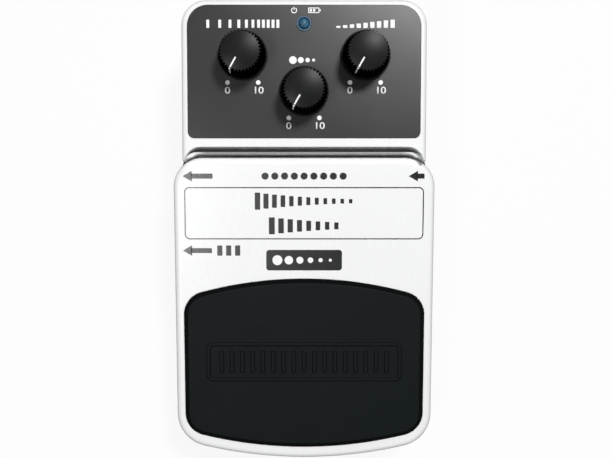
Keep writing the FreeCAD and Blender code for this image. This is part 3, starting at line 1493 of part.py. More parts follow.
def make_treadle_pad():
    """Make the rubber pad, with a raised frame and a row of ribs across it."""
    body = new_body("treadle_pad", "treadle")
    grow(body, draw_pad(new_sketch(body, "pad_outline", "places.pad_level"), "0"),
         "sizes.pad_thickness")
    round_pad(body, "pad_corners", "0")
    round_edges(body, "pad_edges", "sizes.pad_edge_radius", level_at("places.pad_top"))
    raised = new_sketch(body, "pad_frame", "places.pad_top")
    middle = "-sizes.frame_place"
    for inset in ("0", "sizes.frame_band"):
        corner = "(sizes.frame_corner - %s)" % inset
        draw_rounded(raised, "(sizes.frame_width / 2 - %s)" % inset,
                     "(%s - sizes.frame_depth / 2 + %s)" % (middle, inset),
                     "(%s + sizes.frame_depth / 2 - %s)" % (middle, inset), corner, corner)
    grow(body, raised, "sizes.frame_rise")
    ribs = new_sketch(body, "pad_ribs", "places.pad_top")
    count = int(read("sizes.rib_count"))
    for number in range(count):
        place = "%g * sizes.rib_pitch" % (number - (count - 1) / 2)
        draw_rectangle(ribs, "%s - sizes.rib_width / 2" % place, "%s + sizes.rib_width / 2" % place,
                       "%s - sizes.rib_length / 2" % middle, "%s + sizes.rib_length / 2" % middle)
    grow(body, ribs, "sizes.frame_rise")


# Hinge pins

def make_hinge_pins():
    """Make the sprung hinge pins, and the plugs that close their bores."""
    plugs = new_body("pin_plugs")
    for name, side in (("left", -1), ("right", 1)):
        pin = new_body("hinge_pin_" + name)
        for label, radius, inner, outer in (
                ("pin_shank", "sizes.pin_radius", "places.pin_collar_start", "places.pin_face"),
                ("pin_collar", "sizes.pin_collar_radius", "places.pin_collar_start",
                 "places.pin_collar_end"),
                ("pin_tail", "sizes.pin_tail_radius",
                 "places.pin_collar_start - sizes.pin_tail_length", "places.pin_collar_start")):
            rod(pin, label, radius, "%s - (%s)" % (outer, inner),
                (jack_start(side, inner, outer), "sizes.hinge_row", "sizes.hinge_height"), "X")
        rod(plugs, "plug_" + name, "sizes.pin_bore_radius - sizes.pilot_clearance",
            "sizes.pin_plug_thickness",
            (jack_start(side, "places.pin_plug_start", "places.pin_plug_end"),
             "sizes.hinge_row", "sizes.hinge_height"), "X")


# Battery

def make_battery():
    """Make the battery with its two studs, and the snap that grips them."""
    middle = "-places.bay_middle"
    battery = new_body("battery")
    block(battery, "battery_case",
          ("sizes.battery_length", "sizes.battery_width", "sizes.battery_height"),
          ("places.battery_start", "%s - sizes.battery_width / 2" % middle, "places.battery_base"))
    wide = read("sizes.battery_width") / 2
    round_edges(battery, "battery_edges", "sizes.battery_edge", crosswise_at([
        ("%s + %g" % (middle, side * wide), "places.battery_base + %g * sizes.battery_height" % end)
        for side in (-1, 1) for end in (0, 1)]))
    snap = new_body("battery_snap")
    block(snap, "snap_plate", ("sizes.snap_thickness", "sizes.snap_width", "sizes.snap_height"),
          ("places.snap_start", "%s - sizes.snap_width / 2" % middle,
           "places.battery_middle - sizes.snap_height / 2"))
    for side, radius in (("-", "sizes.stud_radius"), ("+", "sizes.cup_radius")):
        y = "%s %s sizes.stud_pitch / 2" % (middle, side)
        rod(battery, "battery_stud", radius, "sizes.stud_height",
            ("places.battery_end", y, "places.battery_middle"), "X")
        bore(snap, "snap_bore", "%s + sizes.stud_fit" % radius,
             "sizes.stud_height", ("places.snap_start", y, "places.battery_middle"), "X")


# Springs, leads and the ribbon, which follow curved paths

# A lead's side of the snap's middle, where it bends first, where it meets the board, and the
# height from which it drops there.
LEAD_ROUTES = {
    "battery_lead_red": {
        "side": 1, "bend": -15.0, "foot": Vector(24.0, -8.0, read("places.board_level")), "drop": 4.6,
    },
    "battery_lead_black": {
        "side": -1, "bend": -15.6, "foot": Vector(18.6, -9.6, read("places.board_level")), "drop": 3.2,
    },
}


def place_shape(label, shape, place=None):
    """Put a made shape in the document as a sub-part."""
    piece = DOC.addObject("Part::Feature", label)
    piece.Label = label
    piece.Shape = shape
    piece.Placement = place or Placement()
    return piece


def tangent_arc(start, direction, end):
    """Make the arc that leaves start in a direction and reaches end."""
    chord = end - start
    along = Vector(chord).normalize()
    aside = direction - along * direction.dot(along)
    angle = math.acos(min(1.0, direction.dot(along)))
    bulge = aside.normalize() * (chord.Length / 2 * math.tan(angle / 2))
    return Part.Arc(start, (start + end) * 0.5 + bulge, end)


def biarc(start, first, end, second):
    """Join two points by two arcs that meet smoothly and keep both directions."""
    span = end - start
    total = first + second
    spread = 2 * (1 - first.dot(second))
    along = span.dot(total)
    reach = (math.sqrt(along ** 2 + spread * span.dot(span)) - along) / spread
    joint = (start + end + (first - second) * reach) * 0.5
    back = tangent_arc(end, second * -1, joint)
    middle = back.value((back.FirstParameter + back.LastParameter) / 2)
    return [tangent_arc(start, first, joint), Part.Arc(joint, middle, end)]


def coil(radius, wire, length, turns):
    """Make a spring along Z from zero to its length, wound in short arcs."""
    step = 2 * math.pi / ARCS_A_TURN
    rise = (length - wire) / (turns * ARCS_A_TURN)
    steps = int(turns * ARCS_A_TURN)
    points, ways = [], []
    for number in range(steps + 1):
        angle = number * step
        points.append(Vector(radius * math.cos(angle), radius * math.sin(angle),
                             wire / 2 + number * rise))
        ways.append(Vector(-math.sin(angle), math.cos(angle),
                           rise / (radius * step)).normalize())
    edges = []
    for number in range(steps):
        for arc in biarc(points[number], ways[number], points[number + 1], ways[number + 1]):
            edges.append(arc.toShape())
    path = Part.Wire(edges)
    print("spring of %g turns, least gap %.2f mm" % (turns, ARCS_A_TURN * rise - wire))
    ring = Part.Wire([Part.makeCircle(wire / 2, points[0], ways[0])])
    return path.makePipeShell([ring], True, False)


def make_springs():
    """Make the plunger's spring, the two return springs and the two pin springs."""
    gap = read("sizes.spring_end_gap")
    bottom = read("places.switch_top") + gap
    spring = coil(read("sizes.plunger_spring_radius"), read("sizes.plunger_spring_wire"),
                  read("places.collar_under") - gap - bottom, read("sizes.plunger_spring_turns"))
    row = -read("sizes.switch_row")
    place_shape("plunger_spring", spring, Placement(Vector(0, row, bottom), Rotation()))

    deck = read("sizes.middle_deck_height") + gap
    spring = coil(read("sizes.return_radius"), read("sizes.return_wire"),
                  read("places.return_top") - deck, read("sizes.return_turns"))
    pair = []
    for side in (-1, 1):
        copy = spring.copy()
        copy.Placement = Placement(Vector(side * read("sizes.return_spread"), row, deck), Rotation())
        pair.append(copy)
    place_shape("return_springs", Part.Compound(pair))

    start = read("places.pin_plug_end") + gap
    spring = coil(read("sizes.pin_spring_radius"), read("sizes.pin_spring_wire"),
                  read("places.pin_collar_start") - gap - start, read("sizes.pin_spring_turns"))
    row, level = read("sizes.hinge_row"), read("sizes.hinge_height")
    for name, side in (("left", -1), ("right", 1)):
        turn = Rotation(Vector(0, 1, 0), 90 * side)
        place_shape("pin_spring_" + name, spring, Placement(Vector(side * start, row, level), turn))


def rounded_path(points):
    """Join points by straight runs and tangent arcs, each arc as large as its runs allow."""
    edges = []
    start = points[0]
    for before, corner, after in zip(points, points[1:], points[2:]):
        way_in = (corner - before).normalize()
        way_out = (after - corner).normalize()
        reach = BEND_SHARE * min((corner - before).Length, (after - corner).Length)
        turn = way_in.getAngle(way_out)
        print("bend radius %.1f mm" % (reach / math.tan(turn / 2)))
        enter = corner - way_in * reach
        leave = corner + way_out * reach
        edges.append(Part.LineSegment(start, enter).toShape())
        edges.append(tangent_arc(enter, way_in, leave).toShape())
        start = leave
    edges.append(Part.LineSegment(start, points[-1]).toShape())
    return Part.Wire(edges)


def make_leads():
    """Lay the two battery leads from the snap, through the notch in the bay, to the board."""
    radius = read("sizes.lead_radius")
    edge = read("sizes.snap_width / 2 - places.bay_middle")
    for label, route in LEAD_ROUTES.items():
        level = read("places.battery_middle") + route["side"] * read("sizes.lead_pitch") / 2
        start = Vector(read("places.lead_place"), edge, level)
        corner = route["foot"] + Vector(0, 0, route["drop"])
        points = [start, Vector(start.x, route["bend"], level), corner, route["foot"]]
        path = rounded_path(points)
        ring = Part.Wire([Part.makeCircle(radius, start, Vector(0, 1, 0))])
        tube = path.makePipeShell([ring], True, False)
        ideal = math.pi * radius ** 2 * path.Length
        print("%s volume %.2f of %.2f mm3" % (label, tube.Volume, ideal))
        place_shape(label, tube)


def head_point(along, level):
    """Give the floor-frame point for a place in the head's frame."""
    tilt = math.radians(read("sizes.head_tilt"))
    return Vector(0, read("sizes.head_front") + along * math.cos(tilt) - level * math.sin(tilt),
                  read("sizes.head_front_height") + along * math.sin(tilt) + level * math.cos(tilt))


def make_ribbon():
    """Lay the ribbon from its header on the main board up to the one under the pot board."""
    row = read("sizes.ribbon_row")
    header = read("sizes.header_height")
    thick, wide = read("sizes.ribbon_thickness"), read("sizes.ribbon_width")
    bottom = Vector(0, row, read("places.board_level") + header)
    along = (row - read("sizes.head_front")) / math.cos(math.radians(read("sizes.head_tilt")))
    top = head_point(along, read("places.pot_board_under") - header)
    run, bulge = read("sizes.ribbon_run"), read("sizes.ribbon_bulge")
    down = (head_point(along, 0) - head_point(along, 1)).normalize()
    points = [bottom, bottom + Vector(0, 0, run),
              (bottom + top) * 0.5 + Vector(0, bulge, 0), top + down * run, top]
    path = rounded_path(points)
    corners = [bottom + Vector(x * wide / 2, y * thick / 2, 0)
               for x, y in ((-1, -1), (1, -1), (1, 1), (-1, 1), (-1, -1))]
    strip = path.makePipeShell([Part.makePolygon(corners)], True, True)
    print("ribbon volume %.2f of %.2f mm3" % (strip.Volume, thick * wide * path.Length))
    place_shape("ribbon_cable", strip)
    size = ("sizes.header_width", "sizes.header_depth", "sizes.header_height")
    board_header = new_body("board_header")
    block(board_header, "header_case", size,
          ("-sizes.header_width / 2", "sizes.ribbon_row - sizes.header_depth / 2",
           "places.board_level"))
    pot_header = new_body("pot_header", "head", y="(sizes.ribbon_row - sizes.head_front)"
                                                  " / cos(sizes.head_tilt)")
    block(pot_header, "header_case", size,
          ("-sizes.header_width / 2", "-sizes.header_depth / 2",
           "places.pot_board_under - sizes.header_height"))


def build():
    """Make every sub-part."""
    make_rubber_mat()
    make_base_plate()
    make_base_screws()
    make_housing()
    make_control_panel()
    make_lamp()
    for side in KNOBS:
        make_pot(side)
        make_shaft(side)
        make_knob(side)
        make_pointer(side)
    make_pot_board()
    make_small_screws("pot_board_screws", "head", POT_SCREWS, "places.pot_board_under", False)
    make_main_board()
    make_small_screws("main_board_screws", "floor", POSTS, "places.board_level", True)
    for label in JACKS:
        make_jack(label)
    make_jack_contacts()
    make_jack_fasteners()
    make_power_socket()
    make_foot_switch()
    make_chips()
    make_loose_components()
    make_treadle()
    make_treadle_pad()
    make_hinge_pins()
    make_battery()
    make_springs()
    make_leads()
    make_ribbon()


def sub_parts():
    """List the document's sub-parts."""
    return [item for item in DOC.Objects
            if item.TypeId in ("PartDesign::Body", "Part::Feature") and not item.getParentGroup()]


def check_and_write():
    """See that every object is sound, then write each sub-part to its own file."""
    DOC.recompute()
    for item in DOC.Objects:
        if "Invalid" in item.State or "Error" in item.State:
            raise RuntimeError("%s is not sound: %s" % (item.Label, item.State))
    pieces = sub_parts()
    for piece in pieces:
        if piece.Shape.isNull() or not piece.Shape.isValid():
            raise RuntimeError("%s has no sound shape" % piece.Label)
    os.makedirs("parts", exist_ok=True)
    for piece in pieces:
        piece.Shape.exportStep("parts/%s.step" % piece.Label)
        box = piece.Shape.BoundBox
        print("%-24s %3d solids  X %.2f %.2f  Y %.2f %.2f  Z %.2f %.2f" % (
            piece.Label, len(piece.Shape.Solids), box.XMin, box.XMax, box.YMin, box.YMax,
            box.ZMin, box.ZMax))
    print("%d sub-parts" % len(pieces))


build()
check_and_write()
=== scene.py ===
"""Looks of an analog delay pedal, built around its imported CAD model."""

import json
import logging
import math
from contextlib import contextmanager
from dataclasses import dataclass, field
from enum import Enum
from typing import Callable, Iterator, Optional, Sequence

import bpy
from mathutils import Matrix, Vector


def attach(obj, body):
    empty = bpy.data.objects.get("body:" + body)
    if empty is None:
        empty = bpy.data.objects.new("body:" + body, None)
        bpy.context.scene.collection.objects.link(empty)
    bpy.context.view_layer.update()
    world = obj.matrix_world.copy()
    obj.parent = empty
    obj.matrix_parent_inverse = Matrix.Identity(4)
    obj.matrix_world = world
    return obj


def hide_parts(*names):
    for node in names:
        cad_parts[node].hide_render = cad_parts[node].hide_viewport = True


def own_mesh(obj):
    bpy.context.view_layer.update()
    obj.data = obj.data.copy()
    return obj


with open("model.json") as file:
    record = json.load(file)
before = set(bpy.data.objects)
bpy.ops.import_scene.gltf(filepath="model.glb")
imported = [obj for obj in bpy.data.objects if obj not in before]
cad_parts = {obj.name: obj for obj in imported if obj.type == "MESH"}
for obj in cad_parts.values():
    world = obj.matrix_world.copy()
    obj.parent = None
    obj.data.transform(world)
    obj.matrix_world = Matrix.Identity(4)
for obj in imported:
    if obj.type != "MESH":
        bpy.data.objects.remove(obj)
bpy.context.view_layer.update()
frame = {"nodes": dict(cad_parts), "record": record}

LOG = logging.getLogger("pedal")
MM = 0.001
TURN = 2.0 * math.pi
Triple = tuple[float, float, float]
Colour = Triple
Point = tuple[float, float]
Piece = bpy.types.Object
KNOBS: dict[str, Point] = {"left": (-15.95, 23.65), "middle": (0.0, 14.45), "right": (15.95, 23.65)}


def placed(x: float, y: float, z: float, turn: float = 0.0, axis: str = "Z") -> Matrix:
    """Give the transform from a drawing in millimetres to a place in metres, turned there."""
    return Matrix.Scale(MM, 4) @ Matrix.Translation((x, y, z)) @ Matrix.Rotation(turn, 4, axis)


class Plane(Enum):
    """A sloping surface that printed marks lie on: its start, its turn about X and its level."""

    PANEL = (23.5, 40.0, 4.0, -0.05)
    TREADLE = (9.0, 26.3, 7.33, 8.3)

    @property
    def slope(self) -> float:
        """Give the turn about X in radians."""
        return math.radians(self.value[2])

    def along(self, world_y: float) -> float:
        """Give the place along the slope, in millimetres, that lies at a world Y."""
        start_y, _, _, level = self.value
        return (world_y - start_y + level * math.sin(self.slope)) / math.cos(self.slope)

    def seat(self, x: float, along: float, level: float) -> Matrix:
        """Give the transform from a drawing in millimetres to a place on the slope, in metres."""
        start_y, start_z, _, _ = self.value
        return placed(0.0, start_y, start_z, self.slope, "X") @ Matrix.Translation((x, along, level))

    def matrix(self) -> Matrix:
        """Give the transform from flat drawings in millimetres to the surface, in metres."""
        return self.seat(0.0, 0.0, self.value[3])


def maths(operation: str, mirrored: bool = False) -> Callable[..., "Signal"]:
    """Make an operator that adds a Math node; a mirrored one takes the other value first.

    Args:
        operation: The Math node's operation.
        mirrored: Whether the signal comes after the other value.

    Returns:
        The method that the operator calls.
    """

    def operate(self: "Signal", *others: object) -> "Signal":
        """Add the node."""
        values = (*others, self) if mirrored else (self, *others)
        return self.sheet.node("ShaderNodeMath", {"operation": operation}, values)

    return operate


class Signal:
    """A number that varies over a surface, carried by a node's socket."""

    __add__, __radd__ = maths("ADD"), maths("ADD", True)
    __sub__, __rsub__ = maths("SUBTRACT"), maths("SUBTRACT", True)
    __mul__, __rmul__ = maths("MULTIPLY"), maths("MULTIPLY", True)
    __gt__, __lt__, least = maths("GREATER_THAN"), maths("LESS_THAN"), maths("MINIMUM")
    __abs__, sine, root = maths("ABSOLUTE"), maths("SINE"), maths("SQRT")

    def __init__(self, sheet: "NodeSheet", socket: bpy.types.NodeSocket) -> None:
        """Keep the socket and the sheet that its node is on."""
        self.sheet = sheet
        self.socket = socket

    def clipped(self) -> "Signal":
        """Hold the number between 0 and 1."""
        return self.sheet.node("ShaderNodeClamp", {}, {"Value": self})

    def ramp(self, low: float, high: float) -> "Signal":
        """Stretch the span from low to high over 0 to 1."""
        return self.sheet.node("ShaderNodeMapRange", {"clamp": True},
                               {"Value": self, "From Min": low, "From Max": high})


class NodeSheet:
    """The nodes of one material or of the world, with short ways to add the usual ones."""

    def __init__(self, owner: bpy.types.ID) -> None:
        """Start on the owner's nodes.

        Args:
            owner: A material or a world.
        """
        self.owner = owner
        owner.use_nodes = True
        self.tree = owner.node_tree

    def node(self, kind: str, settings: dict, values: object = (), output: object = 0) -> Signal:
        """Add a node with its settings and its sockets' values or signals, by name or in order.

        Args:
            kind: The node's type.
            settings: Its settings, which are set first.
            values: Its sockets' values or signals, by name or in order.
            output: The name or number of the output that is wanted.

        Returns:
            The signal of that output.
        """
        made = self.tree.nodes.new(kind)
        for name, value in settings.items():
            setattr(made, name, value)
        pairs = values.items() if isinstance(values, dict) else enumerate(values)
        for key, value in pairs:
            self.set(made.inputs[key], value)
        return Signal(self, made.outputs[output])

    def set(self, socket: bpy.types.NodeSocket, value: object) -> None:
        """Link a signal to a socket, or set the socket to a value.

        Args:
            socket: The input to fill.
            value: A signal, number, vector or colour.
        """
        if isinstance(value, Signal):
            self.tree.links.new(value.socket, socket)
        elif isinstance(value, tuple) and len(value) == 3 and socket.type == "RGBA":
            socket.default_value = (*value, 1.0)
        else:
            socket.default_value = value

    def shader(self) -> bpy.types.Node:
        """Give the principled shader that a new material has."""
        return self.tree.nodes["Principled BSDF"]

    def dress(self, **values: object) -> None:
        """Set the shader's inputs; underscores stand for spaces in their names."""
        for name, value in values.items():
            self.set(self.shader().inputs[name.replace("_", " ")], value)

    def show(self, surface: Signal, output: str = "Material Output") -> None:
        """Let a shader be what is seen."""
        self.set(self.tree.nodes[output].inputs["Surface"], surface)

    def place(self, scale: Triple = (1.0, 1.0, 1.0), centre: Triple = (0.0, 0.0, 0.0)) -> Signal:
        """Give object coordinates in millimetres about a centre, stretched by a scale.

        Args:
            scale: How much each axis is stretched.
            centre: The place that becomes zero, in millimetres.

        Returns:
            The coordinates.
        """
        raw = self.node("ShaderNodeTexCoord", {}, (), "Object")
        stretch = tuple(factor / MM for factor in scale)
        shift = tuple(-point * factor for point, factor in zip(centre, scale))
        return self.node("ShaderNodeMapping", {"vector_type": "POINT"},
                         {"Vector": raw, "Scale": stretch, "Location": shift})

    def axis(self, place: Signal, name: str) -> Signal:
        """Give one coordinate of a place."""
        return self.node("ShaderNodeSeparateXYZ", {}, {"Vector": place}, name)

    def upward(self) -> Signal:
        """Give how far a surface faces up, 1 for level."""
        return self.axis(self.node("ShaderNodeNewGeometry", {}, (), "Normal"), "Z")

    def noise(self, place: Signal, scale: float, detail: float = 3.0, rough: float = 0.5) -> Signal:
        """Give cloudy noise; scale is in features to a millimetre."""
        return self.node("ShaderNodeTexNoise", {},
                         {"Vector": place, "Scale": scale, "Detail": detail, "Roughness": rough})

    def cells(self, place: Signal, scale: float) -> Signal:
        """Give the distance to scattered points."""
        return self.node("ShaderNodeTexVoronoi", {}, {"Vector": place, "Scale": scale}, "Distance")

    def blend(self, first: object, second: object, share: object) -> Signal:
        """Blend two colours by a share of the second.

        Args:
            first: The colour at a share of 0.
            second: The colour at a share of 1.
            share: How much of the second there is.

        Returns:
            The blended colour.
        """
        factor, from_colour, to_colour, result = 0, 6, 7, 2
        return self.node("ShaderNodeMix", {"data_type": "RGBA"},
                         {factor: share, from_colour: first, to_colour: second}, result)

    def rounded(self, radius: float) -> Signal:
        """Give normals that round each edge by a radius in millimetres."""
        return self.node("ShaderNodeBevel", {"samples": 4}, {"Radius": radius * MM})

    def bump(self, height: Signal, depth: float, normal: Optional[Signal] = None) -> Signal:
        """Give normals for a height of 0 to 1, its depth in millimetres.

        Args:
            height: The height of the surface.
            depth: What a height of 1 stands for.
            normal: The normals that the height is laid on.

        Returns:
            The bent normals.
        """
        values = {"Height": height, "Distance": depth * MM, "Strength": 1.0}
        if normal is not None:
            values["Normal"] = normal
        return self.node("ShaderNodeBump", {}, values)

    def worn_edges(self, normal: Signal) -> Signal:
        """Give a mask of the edges that rounded normals bend most.

        Args:
            normal: Normals that round each edge.

        Returns:
            The mask, 1 at an edge.
        """
        flat_normal = self.node("ShaderNodeNewGeometry", {}, (), "Normal")
        facing = self.node("ShaderNodeVectorMath", {"operation": "DOT_PRODUCT"},
                           (normal, flat_normal), "Value")
        return (1.0 - facing).ramp(0.02, 0.3)


@dataclass(frozen=True)
class Groove:
    """A line across the shell along a groove, where shade is painted on the crest, in millimetres."""

    row: float
    reach: float
    top: float
    half_width: float
    depth: float = 0.25
    fade: float = 3.5

    def mask(self, sheet: NodeSheet, place: Signal) -> Signal:
        """Give 1 along the groove's crest, where shade is painted, fading out towards its ends.

        Args:
            sheet: The nodes to add to.
            place: Object coordinates in millimetres.

        Returns:
            The mask.
        """
        near = abs(sheet.axis(place, "Y") - self.row) < self.reach
        deep = abs(sheet.axis(place, "Z") - self.top) < self.depth
        start = self.half_width - self.fade
        return near * deep * (1.0 - abs(sheet.axis(place, "X")).ramp(start, self.half_width))


@dataclass(frozen=True)
class Finish:
    """A material's name and its two colours; each kind paints its nodes in its own way."""

    name: str
    colour: Colour
    other: Colour

    def make(self) -> bpy.types.Material:
        """Build the material.

        Returns:
            The material.
        """
        sheet = NodeSheet(bpy.data.materials.new(self.name))
        self.paint(sheet)
        return sheet.owner

    def paint(self, sheet: NodeSheet) -> None:
        """Set the shader's inputs."""
        raise NotImplementedError


@dataclass(frozen=True)
class GlossShell(Finish):
    """Glossy moulded or painted white, with faint orange peel, handling marks and painted shade along
    the groove's crest.
    """

    groove: Groove
    # Grey of the painted shade on the groove's crest.
    groove_shade: Colour = (0.15, 0.15, 0.155)
    roughness: float = 0.24
    shine: float = 0.4
    peel: float = 0.01
    edge: float = 0.3

    def paint(self, sheet: NodeSheet) -> None:
        """Set the shader's inputs.

        Args:
            sheet: The material's nodes.
        """
        place = sheet.place()
        edges = sheet.rounded(self.edge)
        haze = sheet.noise(place, 0.045, 4.0)
        smudge = sheet.noise(sheet.place((1.0, 0.35, 1.0)), 0.3, 5.0, 0.65).ramp(0.5, 0.8)
        tone = (haze.ramp(0.35, 0.75) * 0.35 + sheet.worn_edges(edges) * 0.15).clipped()
        unshaded = sheet.blend(self.colour, self.other, tone)
        peel = sheet.noise(place, 1.6, 2.0) * 0.7 + sheet.noise(place, 6.0, 2.0) * 0.3
        # Painted shade: the groove's crest is darkened towards the grey.
        sheet.dress(
            Base_Color=sheet.blend(unshaded, self.groove_shade, self.groove.mask(sheet, place) * 0.8),
            Roughness=self.roughness + smudge * 0.05 + haze * 0.05,
            Specular_IOR_Level=self.shine, Normal=sheet.bump(peel, self.peel, edges))


class Grip(Enum):
    """What is moulded into a rubber's surface."""

    SKIN = 0
    LOZENGES = 1


@dataclass(frozen=True)
class Rubber(Finish):
    """Matt rubber with a fine skin and lighter scuffs, its slopes painted darker as shade, or moulded
    lozenges.
    """

    grip: Grip = Grip.SKIN
    # Colour of the tilted rim: painted shade, darker than the level top.
    slope: Colour = (0.0012, 0.0016, 0.0018)
    grain: float = 0.03
    pitch: float = 2.4
    shine: float = 0.13

    def paint(self, sheet: NodeSheet) -> None:
        """Set the shader's inputs.

        Args:
            sheet: The material's nodes.
        """
        place = sheet.place()
        edges = sheet.rounded(0.3)
        skin = sheet.noise(place, 5.0, 4.0, 0.6)
        pits = sheet.cells(place, 2.2).ramp(0.0, 0.35)
        scuff = sheet.noise(sheet.place((0.35, 1.0, 1.0)), 0.9, 6.0, 0.7).ramp(0.56, 0.72)
        cloud = sheet.noise(place, 0.06, 3.0)
        tone = (scuff * 0.22 + cloud * 0.35 + sheet.worn_edges(edges) * 0.2).clipped()
        normal = sheet.bump(skin * 0.6 + pits * 0.4, self.grain, edges)
        colour = sheet.blend(self.colour, self.other, tone)
        rough = 0.52 + skin * 0.16 - scuff * 0.06
        # On a plain skin, faces that tilt from level take the darker colour: painted shade.
        if self.grip is Grip.SKIN:
            level = sheet.upward().ramp(0.965, 0.985)
            colour = sheet.blend(self.slope, colour, level)
            rough = rough + (1.0 - level) * 0.35
        else:
            wave = TURN / self.pitch
            across, deep = sheet.axis(place, "X") * wave, sheet.axis(place, "Y") * (wave * 0.6)
            ridges = abs((across + deep).sine()) * abs((across - deep).sine())
            normal = sheet.bump(ridges.ramp(0.1, 0.45), 0.25, normal)
        sheet.dress(
            Base_Color=colour, Roughness=rough, Specular_IOR_Level=self.shine, Normal=normal)


@dataclass(frozen=True)
class SatinPaint(Finish):
    """Dark satin panel paint with a powder texture and fine dust."""

    roughness: float = 0.4
    shine: float = 0.5

    def paint(self, sheet: NodeSheet) -> None:
        """Set the shader's inputs.

        Args:
            sheet: The material's nodes.
        """
        place = sheet.place()
        edges = sheet.rounded(0.15)
        powder = sheet.noise(place, 9.0, 3.0, 0.6)
        cloud = sheet.noise(place, 0.07, 4.0)
        dust = (sheet.cells(place, 0.9) < 0.06) * sheet.noise(place, 0.4, 2.0).ramp(0.5, 0.7)
        tone = (cloud.ramp(0.3, 0.8) * 0.5 + dust * 0.5 + sheet.worn_edges(edges) * 0.4).clipped()
        sheet.dress(
            Base_Color=sheet.blend(self.colour, self.other, tone),
            Roughness=self.roughness + powder * 0.08 + cloud * 0.04,
            Specular_IOR_Level=self.shine, Normal=sheet.bump(powder, 0.006, edges))


@dataclass(frozen=True)
class Moulded(Finish):
    """Plain moulded plastic or sleeve with mould grain, its gloss and colour given."""

    roughness: float = 0.45
    grain: float = 0.008
    fineness: float = 6.0
    edge: float = 0.12

    def paint(self, sheet: NodeSheet) -> None:
        """Set the shader's inputs.

        Args:
            sheet: The material's nodes.
        """
        place = sheet.place()
        edges = sheet.rounded(self.edge)
        grain = sheet.noise(place, self.fineness, 3.0, 0.6)
        cloud = sheet.noise(place, 0.25, 4.0)
        tone = (cloud.ramp(0.35, 0.75) * 0.5 + sheet.worn_edges(edges) * 0.5).clipped()
        sheet.dress(
            Base_Color=sheet.blend(self.colour, self.other, tone),
            Roughness=self.roughness + grain * 0.1 - cloud * 0.05,
            Normal=sheet.bump(grain, self.grain, edges))


@dataclass(frozen=True)
class TurnedKnob(Finish):
    """Black knob: a polished domed top with faint rings, painted lighter as light falling on it, and
    dull grained sides.
    """

    centres: Sequence[Point]
    roughness: float = 0.5
    shine: float = 0.0
    polish: float = 0.185

    def paint(self, sheet: NodeSheet) -> None:
        """Set the shader's inputs.

        Args:
            sheet: The material's nodes.
        """
        place = sheet.place()
        edges = sheet.rounded(0.12)
        nearest: Optional[Signal] = None
        start_y, start_z, _, _ = Plane.PANEL.value
        slope = Plane.PANEL.slope
        row = ((sheet.axis(place, "Y") - start_y) * math.cos(slope)
               + (sheet.axis(place, "Z") - start_z) * math.sin(slope))
        for x, along in self.centres:
            across, deep = sheet.axis(place, "X") - x, row - along
            radius = (across * across + deep * deep).root()
            nearest = radius if nearest is None else nearest.least(radius)
        rings = (nearest * 14.0).sine() * 0.5 + 0.5
        grain = sheet.noise(place, 7.0, 3.0, 0.6)
        cloud = sheet.noise(place, 0.35, 4.0)
        side = 1.0 - sheet.upward().ramp(0.5, 0.9)
        # The top is painted lighter than the sides (painted light); cloud and worn edges add real tone.
        tone = ((1.0 - side) * 0.6 + cloud.ramp(0.4, 0.8) * 0.2
                + sheet.worn_edges(edges) * 0.2).clipped()
        sheet.dress(
            Base_Color=sheet.blend(self.colour, self.other, tone),
            Roughness=self.roughness + grain * 0.1 + side * 0.2,
            Specular_IOR_Level=self.shine, Coat_Roughness=0.33,
            Coat_Weight=(1.0 - side) * (self.polish - grain * 0.03 + cloud * 0.02) + 0.008,
            Normal=sheet.bump(rings * 0.35 + grain * 0.65, 0.006, edges))


@dataclass(frozen=True)
class Metal(Finish):
    """Bare or plated metal with fine drawn lines and small scratches."""

    roughness: float = 0.22
    lines: Triple = (1.0, 1.0, 0.1)

    def paint(self, sheet: NodeSheet) -> None:
        """Set the shader's inputs.

        Args:
            sheet: The material's nodes.
        """
        drawn = sheet.noise(sheet.place(self.lines), 14.0, 2.0)
        scratch = (sheet.noise(sheet.place((0.2, 3.0, 3.0)), 2.5, 4.0) > 0.62) * 0.5
        cloud = sheet.noise(sheet.place(), 0.5, 4.0)
        tone = (cloud.ramp(0.35, 0.8) * 0.6 + scratch * 0.2).clipped()
        sheet.dress(
            Base_Color=sheet.blend(self.colour, self.other, tone), Metallic=1.0,
            Roughness=self.roughness + drawn * 0.12 + scratch * 0.1,
            Normal=sheet.bump(drawn, 0.004, sheet.rounded(0.08)))


@dataclass(frozen=True)
class Ink(Finish):
    """Printed ink with a faint screen grain."""

    roughness: float = 0.4
    shine: float = 0.5

    def paint(self, sheet: NodeSheet) -> None:
        """Set the shader's inputs.

        Args:
            sheet: The material's nodes.
        """
        grain = sheet.noise(sheet.place(), 10.0, 3.0, 0.7)
        sheet.dress(
            Base_Color=sheet.blend(self.colour, self.other, grain.ramp(0.5, 0.8) * 0.5),
            Roughness=self.roughness + grain * 0.1, Specular_IOR_Level=self.shine,
            Normal=sheet.bump(grain, 0.003))


@dataclass(frozen=True)
class Lens(Finish):
    """Tinted lamp lens, mottled where its light is spread, in a darker rim with a painted halo of its
    light.
    """

    centre: Triple

    def paint(self, sheet: NodeSheet) -> None:
        """Set the shader's inputs.

        Args:
            sheet: The material's nodes.
        """
        place = sheet.place(centre=self.centre)
        across, deep = sheet.axis(place, "X"), sheet.axis(place, "Y")
        radius = (across * across + deep * deep).root()
        swirl = sheet.noise(place, 1.3, 3.0, 0.6)
        glow = swirl.ramp(0.36, 0.64) * (1.0 - radius.ramp(0.9, 1.5) * 0.7)
        # Painted halo: a lighter ring of the lamp's light around the lens.
        halo = (1.0 - abs(radius - 1.72).ramp(0.02, 0.2)) * 0.4
        sheet.dress(
            Base_Color=sheet.blend(self.colour, self.other, (glow + halo).clipped()),
            Emission_Color=sheet.blend(self.colour, self.other, glow.clipped()),
            Emission_Strength=0.12, Roughness=0.3 + swirl * 0.1, Specular_IOR_Level=0.4,
            Normal=sheet.bump(swirl, 0.02))


